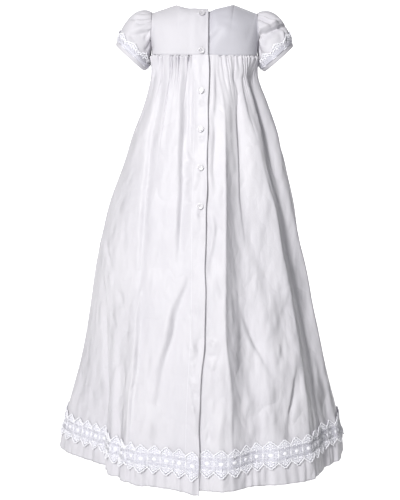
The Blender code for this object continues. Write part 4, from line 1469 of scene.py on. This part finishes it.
@dataclass
class Sleeve:
    """A short puffed sleeve with lace above its hem."""

    side: Side
    seed: int
    cuff: tuple[float, float] = (0.1378, -0.0957)
    cuff_half: tuple[float, float] = (0.035, 0.036)
    up: tuple[float, float] = (0.742, 0.670)
    arm: tuple[float, float] = (0.670, -0.742)
    gathers: int = 17
    gather: float = 0.0024
    depth: float = 1.65
    lace_low: float = 0.008
    scallops: int = 9

    def plain(self, turn: np.ndarray, run: np.ndarray) -> np.ndarray:
        """A point of the plain sleeve: turn 0 at the underarm, run 0 at the armhole."""
        sine, cosine = np.sin(turn), np.cos(turn)
        high = (1 - cosine) / 2
        start = np.stack([ARMHOLE[0] + 0.0003 + 0.001 * cosine, -ARMHOLE_HALF[0] * sine,
                          ARMHOLE[1] - ARMHOLE_HALF[1] * cosine], -1)
        end = np.stack([self.cuff[0] - self.cuff_half[0] * cosine * self.up[0],
                        -self.cuff_half[1] * sine,
                        self.cuff[1] - self.cuff_half[0] * cosine * self.up[1]], -1)
        low = 1 - high
        leave = np.stack([0.92 - 0.90 * low, -0.20 * sine, 0.42 * high - 1.6 * low], -1)
        puff = np.stack([-self.up[0] * cosine, -1.1 * sine, -self.up[1] * cosine], -1)
        one = start + (0.010 + 0.030 * high)[..., None] * leave
        two = (end - (0.010 + 0.018 * high)[..., None] * np.array([self.arm[0], 0, self.arm[1]])
               + (0.005 + 0.009 * high)[..., None] * puff)
        two = two - low[..., None] ** 2 * np.array([0.0035, 0.0, 0.0008])
        s = run[..., None]
        point = (start * (1 - s) ** 3 + one * 3 * s * (1 - s) ** 2
                 + two * 3 * s * s * (1 - s) + end * s ** 3)
        return point * np.array([self.side.value, 1.0, 1.0])

    def normal(self, turn: np.ndarray, run: np.ndarray) -> np.ndarray:
        """Outward normal of the plain sleeve."""
        run = np.clip(run, 0.002, 0.998)
        along = self.plain(turn + 1e-3, run) - self.plain(turn - 1e-3, run)
        down = self.plain(turn, run + 1e-3) - self.plain(turn, run - 1e-3)
        return unit(np.cross(along, down)) * self.side.value * -1.0

    def folds(self, turn: np.ndarray, run: np.ndarray) -> np.ndarray:
        """Gathers of the head and the larger folds of the puff."""
        chance = np.random.default_rng(self.seed)
        heights = chance.uniform(0.4, 1.0, self.gathers + 1)
        reach = chance.uniform(0.22, 0.55, self.gathers + 1)
        phase = turn / TURN * self.gathers
        index = np.clip(phase.astype(int), 0, self.gathers)
        pipe = 0.5 - 0.5 * np.cos(TURN * phase)
        high = 0.15 + 0.85 * (1 - np.cos(turn)) / 2
        total = (self.gather * heights[index] * pipe * high
                 * (0.35 + 0.65 * (1 - np.exp(-run / 0.05)))
                 * np.exp(-(run / reach[index]) ** 1.6))
        half = np.minimum(turn, TURN - turn)
        for fold in SLEEVE_FOLDS[self.side]:
            runs, turns, tops = fold.columns()
            apart = half - SmoothTable(runs, turns)(run)
            width = fold.width * fold.leaning(apart)
            ends = (smooth_step((run - runs[0] + 0.06) / 0.08)
                    * smooth_step((runs[-1] + 0.06 - run) / 0.12))
            total += (np.interp(run, runs, tops / 1000) * ends * self.depth
                      * np.exp(-(apart / width) ** 2))
        return total

    def point(self, turn: np.ndarray, run: np.ndarray,
              out: np.ndarray | float = 0.0) -> np.ndarray:
        """A point of the dressed sleeve."""
        height = np.asarray(out) + self.folds(turn, run) - 0.0002 * np.exp(-run / 0.02)
        return self.plain(turn, run) + height[..., None] * self.normal(turn, run)

    def run_above(self, turn: np.ndarray, length: np.ndarray) -> np.ndarray:
        """Runs at lengths of cloth above the cuff's edge."""
        turns = np.linspace(0, TURN, 121)
        fine = np.linspace(0, 1, 81)
        lines = self.plain(np.repeat(turns[:, None], 81, 1), np.repeat(fine[None], 121, 0))
        steps = np.linalg.norm(np.diff(lines, axis=1), axis=2)
        above = np.concatenate([np.cumsum(steps[:, ::-1], axis=1)[:, ::-1],
                                np.zeros((121, 1))], axis=1)
        lengths = np.linspace(0, 0.034, 35)
        table = np.array([np.interp(lengths, line[::-1], fine[::-1]) for line in above])
        place = np.clip(turn / TURN * 120, 0, 119.999)
        reach = np.clip(length / 0.034 * 34, 0, 33.999)
        i, j = place.astype(int), reach.astype(int)
        a, b = place - i, reach - j
        return ((table[i, j] * (1 - a) + table[i + 1, j] * a) * (1 - b)
                + (table[i, j + 1] * (1 - a) + table[i + 1, j + 1] * a) * b)

    def build(self, finishes: Finishes) -> list[bpy.types.Object]:
        """Lay the satin and the lace of the sleeve."""
        node = "sleeve_" + self.side.word
        columns = np.linspace(0, TURN, self.gathers * 8 + 1)
        rows = np.linspace(0.001, 1, 60)
        cloth = Cloth(node + "_satin", columns, rows, (0.04, 0.09))
        piece = cloth.make(self.point, closed=True)
        made = [dress(piece, finishes.calm, (node,))]
        lace = ScallopLace(pitch=0.0245, half=0.0185, valley=0.0110, curl=0.0008)

        def place(share: np.ndarray, up: np.ndarray, out: np.ndarray) -> np.ndarray:
            """Place the lace above the hem."""
            turn = (share % 1.0 + (share >= 1.0)) * TURN
            run = self.run_above(turn, up + self.lace_low)
            return self.point(turn, run, out)

        made += lace.lay("sleeve_lace_" + self.side.word, self.scallops, False, place,
                         finishes, "sleeve_lace_" + self.side.word, 0.222, closed=True)
        return made


@dataclass
class Skirt:
    """The three gathered panels and the lace band over their hem."""

    form: GownForm
    lace_middle: float = 0.716
    lace_rise: float = 0.009
    lace_short: float = 0.968

    def build(self, finishes: Finishes) -> list[bpy.types.Object]:
        """Lay the panels and their lace."""
        panels = (SkirtPanel(self.form, "skirt_back_left", -90.0, 0.0, Opening.UPPER,
                             gathers=20, scallops=16, seed=3, gather=0.0105),
                  SkirtPanel(self.form, "skirt_back_right", 90.0, 0.0, Opening.UNDER,
                             gathers=20, scallops=16, seed=8, gather=0.0066),
                  SkirtPanel(self.form, "skirt_front", 90.0, 270.0, Opening.NONE,
                             gathers=38, scallops=31, seed=5))
        made = []
        for panel in panels:
            made.append(panel.build(finishes.satin))

            def place(share: np.ndarray, up: np.ndarray, out: np.ndarray,
                      panel: SkirtPanel = panel) -> np.ndarray:
                """Place the lace round the middle line of the band."""
                share = np.clip(share, 0.001, 0.999)
                if panel.edge is Opening.UNDER:
                    share = share * self.lace_short
                angle = panel.angles(share, self.lace_middle - up)
                up = up + (self.lace_rise * smooth_step((angle - 0.17) / 0.8)
                           * (1 - smooth_step((angle - 1.2) / 0.7)))
                return panel.place(share, self.lace_middle - up, out)

            node = panel.name.replace("skirt", "hem_lace")
            made += ScallopLace().lay(node, panel.scallops, True, place, finishes, node,
                                      panel.scallops * LACE_PITCH)
        return made


@dataclass
class Buttons:
    """Six dished buttons down the back, each sewn through four holes."""

    form: GownForm
    bodice: Bodice
    radius: float = 0.00575
    x: float = -0.0055
    lift: float = 0.0012
    drops: tuple[float, ...] = (-0.0715, -0.0068, 0.0640, 0.1310, 0.1980, 0.2650)

    def spot(self, drop: float) -> tuple[np.ndarray, np.ndarray]:
        """Where a button sits and the way it faces."""
        if drop >= 0:
            level = np.array([drop])
            angle = np.arcsin(self.x / self.form.radius(np.zeros(1), level))
            return (self.form.skirt(angle, level, True)[0],
                    self.form.skirt_normal(angle, level, True)[0])
        place, rise = (grid.ravel() for grid in
                       np.meshgrid(np.linspace(0.94, 1, 61), np.linspace(0, 1, 201)))
        side = np.full_like(place, -1.0)
        points = self.bodice.point(place, rise, side, True, True)
        near = np.argmin(np.hypot(points[:, 0] - self.x, points[:, 2] - (WAIST_Z - drop)))
        return points[near], self.bodice.normal(place, rise, side, True)[near]

    def disc(self) -> bpy.types.Object:
        """One button, flat on the ground, its face dished and drilled."""
        nothing_selected()
        bpy.ops.mesh.primitive_cylinder_add(vertices=40, radius=self.radius, depth=0.0022,
                                            location=(0, 0, 0.0011))
        made = bpy.context.object
        bpy.ops.object.transform_apply(location=True, rotation=True, scale=True)
        bpy.ops.object.mode_set(mode="EDIT")
        bpy.ops.mesh.select_mode(type="FACE")
        bpy.ops.mesh.select_all(action="DESELECT")
        bpy.ops.object.mode_set(mode="OBJECT")
        for face in made.data.polygons:
            face.select = face.normal.z > 0.9
        bpy.ops.object.mode_set(mode="EDIT")
        bpy.ops.mesh.inset(thickness=0.0014)
        bpy.ops.mesh.inset(thickness=0.0005)
        bpy.ops.transform.translate(value=(0, 0, -0.0008))
        bpy.ops.object.mode_set(mode="OBJECT")
        modify(made, "BEVEL", width=0.00035, segments=2, limit_method="ANGLE")
        for index in range(4):
            angle = math.pi / 4 + index * math.pi / 2
            nothing_selected()
            bpy.ops.mesh.primitive_cylinder_add(
                vertices=12, radius=0.0007, depth=0.01,
                location=(0.0012 * math.cos(angle), 0.0012 * math.sin(angle), 0))
            drill = bpy.context.object
            modify(made, "BOOLEAN", operation="DIFFERENCE", object=drill, solver="EXACT")
            bpy.data.objects.remove(drill)
        return made

    def thread(self) -> bpy.types.Object:
        """Crossed sewing thread over the four holes, with its short shank."""
        strands = []
        corner, half_gap = 0.00085, 0.00022
        for sign in (-1, 1):
            for shift in (-half_gap, half_gap):
                ends = [(x + shift, (x - shift) * sign) for x in (-corner, 0.0, corner)]
                strands.append(cord(ends, 0.00022, 0.00165))
        nothing_selected()
        bpy.ops.mesh.primitive_cylinder_add(vertices=10, radius=0.0011, depth=0.0016,
                                            location=(0, 0, 0.0002))
        strands.append(bpy.context.object)
        return joined(strands, "button_thread")

    def buttonhole(self) -> bpy.types.Object:
        """The worked edge of a buttonhole, lying across under its button."""
        turns = np.linspace(0, TURN, 28, endpoint=False)
        ring = [(0.0068 * math.copysign(abs(math.cos(t)) ** 0.45, math.cos(t)),
                 0.0010 * math.copysign(abs(math.sin(t)) ** 0.8, math.sin(t))) for t in turns]
        return joined([cord(ring, 0.00055, 0.0, closed=True)], "buttonhole_edge")

    def settle(self, piece: bpy.types.Object, drop: float, out: float, name: str,
               turn: float = 0.0) -> bpy.types.Object:
        """Move a copy of a flat piece onto the gown.

        Args:
            piece: The flat piece.
            drop: Its drop below the waist.
            out: Its height over the cloth.
            name: Name of the copy.
            turn: Turn in its own plane.

        Returns:
            The copy.
        """
        copy = piece.copy()
        copy.data = piece.data.copy()
        bpy.context.collection.objects.link(copy)
        copy.name = copy.data.name = name
        middle, normal = self.spot(drop)
        across = unit(np.cross([0.0, 0.0, 1.0], normal))
        above = np.cross(normal, across)
        flat = get_points(copy)
        c, s = math.cos(turn), math.sin(turn)
        x, y = flat[:, 0] * c - flat[:, 1] * s, flat[:, 0] * s + flat[:, 1] * c
        set_points(copy, middle + x[:, None] * across + y[:, None] * above
                   + (flat[:, 2] + out)[:, None] * normal)
        return copy

    def build(self, finishes: Finishes) -> list[bpy.types.Object]:
        """Sew the buttons on."""
        disc, thread, edge = self.disc(), self.thread(), self.buttonhole()
        turns = (0.0, 0.5, 0.2, -0.3, 0.1, 0.4)
        made = []
        for index, (drop, turn) in enumerate(zip(self.drops, turns), 1):
            name = f"button_{index}"
            face = self.settle(disc, drop, self.lift, name + "_disc", turn)
            made.append(dress(face, finishes.pearl, (name,)))
            only(face)
            bpy.ops.object.shade_smooth_by_angle(angle=math.radians(35))
            made.append(dress(self.settle(thread, drop, self.lift, name + "_thread", turn),
                              finishes.thread))
            made.append(dress(self.settle(edge, drop, 0.0003, name + "_hole_edge"),
                              finishes.thread))
        for piece in (disc, thread, edge):
            bpy.data.objects.remove(piece)
        return made


@dataclass
class Stitching:
    """A row of small stitches along the lap."""

    form: GownForm
    pitch: float = 0.0026
    length: float = 0.0018
    radius: float = 0.00022

    def stitch(self) -> bpy.types.Object:
        """One stitch, a small rounded bar lying along y."""
        nothing_selected()
        bpy.ops.mesh.primitive_cylinder_add(vertices=6, radius=self.radius,
                                            depth=self.length,
                                            rotation=(math.pi / 2, 0, 0))
        made = bpy.context.object
        bpy.ops.object.transform_apply(location=True, rotation=True, scale=True)
        return made

    def row(self, name: str, count: int,
            place: Callable[[np.ndarray, np.ndarray, np.ndarray], np.ndarray],
            finish: bpy.types.Material) -> bpy.types.Object:
        """A row of stitches.

        Args:
            name: Name of the row.
            count: Number of stitches.
            place: Gives a point for length along the row, aside and out.
            finish: The thread's material.

        Returns:
            The row as one mesh.
        """
        made = self.stitch()
        line_up(made, count, (0, self.pitch, 0))
        flat = get_points(made)
        set_points(made, place(flat[:, 1] + self.pitch / 2, flat[:, 0], flat[:, 2]))
        made.name = made.data.name = name
        return dress(made, finish)

    def build(self, finishes: Finishes) -> list[bpy.types.Object]:
        """Stitch the lap's inner line down the skirt."""
        def lap_line(down: np.ndarray, aside: np.ndarray, out: np.ndarray) -> np.ndarray:
            """Place a row beside the opening's upper edge."""
            drop = np.clip(down, 0.004, 0.76)
            x = self.form.read("upper", drop) - 0.024 + aside
            angle = np.arcsin(x / self.form.radius(np.zeros_like(drop), drop))
            here = self.form.skirt(angle, drop, True)
            return here + out[:, None] * self.form.skirt_normal(angle, drop, True)

        return [self.row("lap_stitches", int(0.75 / self.pitch), lap_line, finishes.thread)]


# The studio

@dataclass
class Studio:
    """Pale floor, soft light and the camera of the photograph."""

    distance: float = 1.9
    aim_z: float = -0.088
    camera_x: float = -0.0057
    pitch: float = 11.0
    roll: float = 0.4
    focal: float = 1008.0
    frame_height: float = 500.0
    room: float = 0.24
    lamps: tuple[tuple, ...] = (
        ("key", (-1.48, -3.50, 1.60), 0.6, 157.0, (1.0, 0.99, 0.98)),
        ("front", (-0.5, -2.8, 0.3), 1.6, 14.0, (1.0, 1.0, 1.0)))

    def build(self) -> None:
        """Set up everything."""
        self.floor()
        self.lights()
        self.camera()

    def floor(self) -> None:
        """A plain pale floor well below the hem, and a bright backdrop."""
        white = {"Base Color": (0.9, 0.9, 0.9, 1), "Roughness": 0.9, "Emission Strength": 0.85}
        backdrop = Paint("studio_backdrop").finish({**white, "Emission Color": (1, 1, 1, 1)}, {})
        paint = Paint("studio_floor")
        behind = paint.axis(paint.place(), 1).above(-0.8, 0.5)
        glow = paint.blend(behind, (0.05,) * 3, (1.0,) * 3)
        floor = paint.finish(white, {"Emission Color": glow})
        for name, place, turn, look in (("studio_floor", (0, 1.5, -1.6), 0.0, floor),
                                        ("studio_backdrop", (0, 6, 2.9), math.pi / 2,
                                         backdrop)):
            nothing_selected()
            bpy.ops.mesh.primitive_plane_add(size=9, location=place, rotation=(turn, 0, 0))
            plane = bpy.context.object
            plane.name = name
            plane.data.materials.append(look)
            plane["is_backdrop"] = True

    def lights(self) -> None:
        """A soft key from the left, a weak front light and an even room."""
        scene = bpy.context.scene
        scene.view_settings.view_transform = "Standard"
        world = bpy.data.worlds.new("studio")
        scene.world = world
        world.use_nodes = True
        background = world.node_tree.nodes["Background"]
        background.inputs[0].default_value = (0.97, 0.98, 1.0, 1.0)
        background.inputs[1].default_value = self.room
        for name, place, size, power, colour in self.lamps:
            data = bpy.data.lights.new(name, "AREA")
            data.energy, data.size, data.color = power, size, colour
            lamp = bpy.data.objects.new(name, data)
            bpy.context.collection.objects.link(lamp)
            lamp.location = place
            aim = Vector((0, 0, -0.45)) - Vector(place)
            lamp.rotation_euler = aim.to_track_quat("-Z", "Y").to_euler()

    def camera(self) -> None:
        """The camera, looking a little down from the height of the waist seam."""
        data = bpy.data.cameras.new("camera")
        data.sensor_fit, data.sensor_height = "VERTICAL", 36.0
        data.lens = 36.0 * self.focal / self.frame_height
        data.clip_end = 100.0
        camera = bpy.data.objects.new("camera", data)
        bpy.context.collection.objects.link(camera)
        turn = (Matrix.Rotation(math.radians(90 - self.pitch), 4, "X")
                @ Matrix.Rotation(math.radians(self.roll), 4, "Z"))
        camera.matrix_world = Matrix.Translation(
            (self.camera_x, -self.distance, self.aim_z)) @ turn
        bpy.context.scene.camera = camera


def main() -> None:
    """Build the gown and the studio in order."""
    logging.basicConfig(level=logging.INFO, format="%(name)s %(message)s")
    cad_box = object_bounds()
    finishes = Finishes.make()
    form = GownForm()
    bodice = Bodice(form)
    for part in (bodice, Sleeve(Side.LEFT, 11), Sleeve(Side.RIGHT, 12), Skirt(form),
                 Buttons(form, bodice), Stitching(form)):
        for piece in part.build(finishes):
            log.info("%s: %d faces", piece.name, len(piece.data.polygons))
    Studio().build()
    boxes = [[[float(x) for x in corner] for corner in box] for box in (cad_box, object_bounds())]


if __name__ == "__main__":
    main()
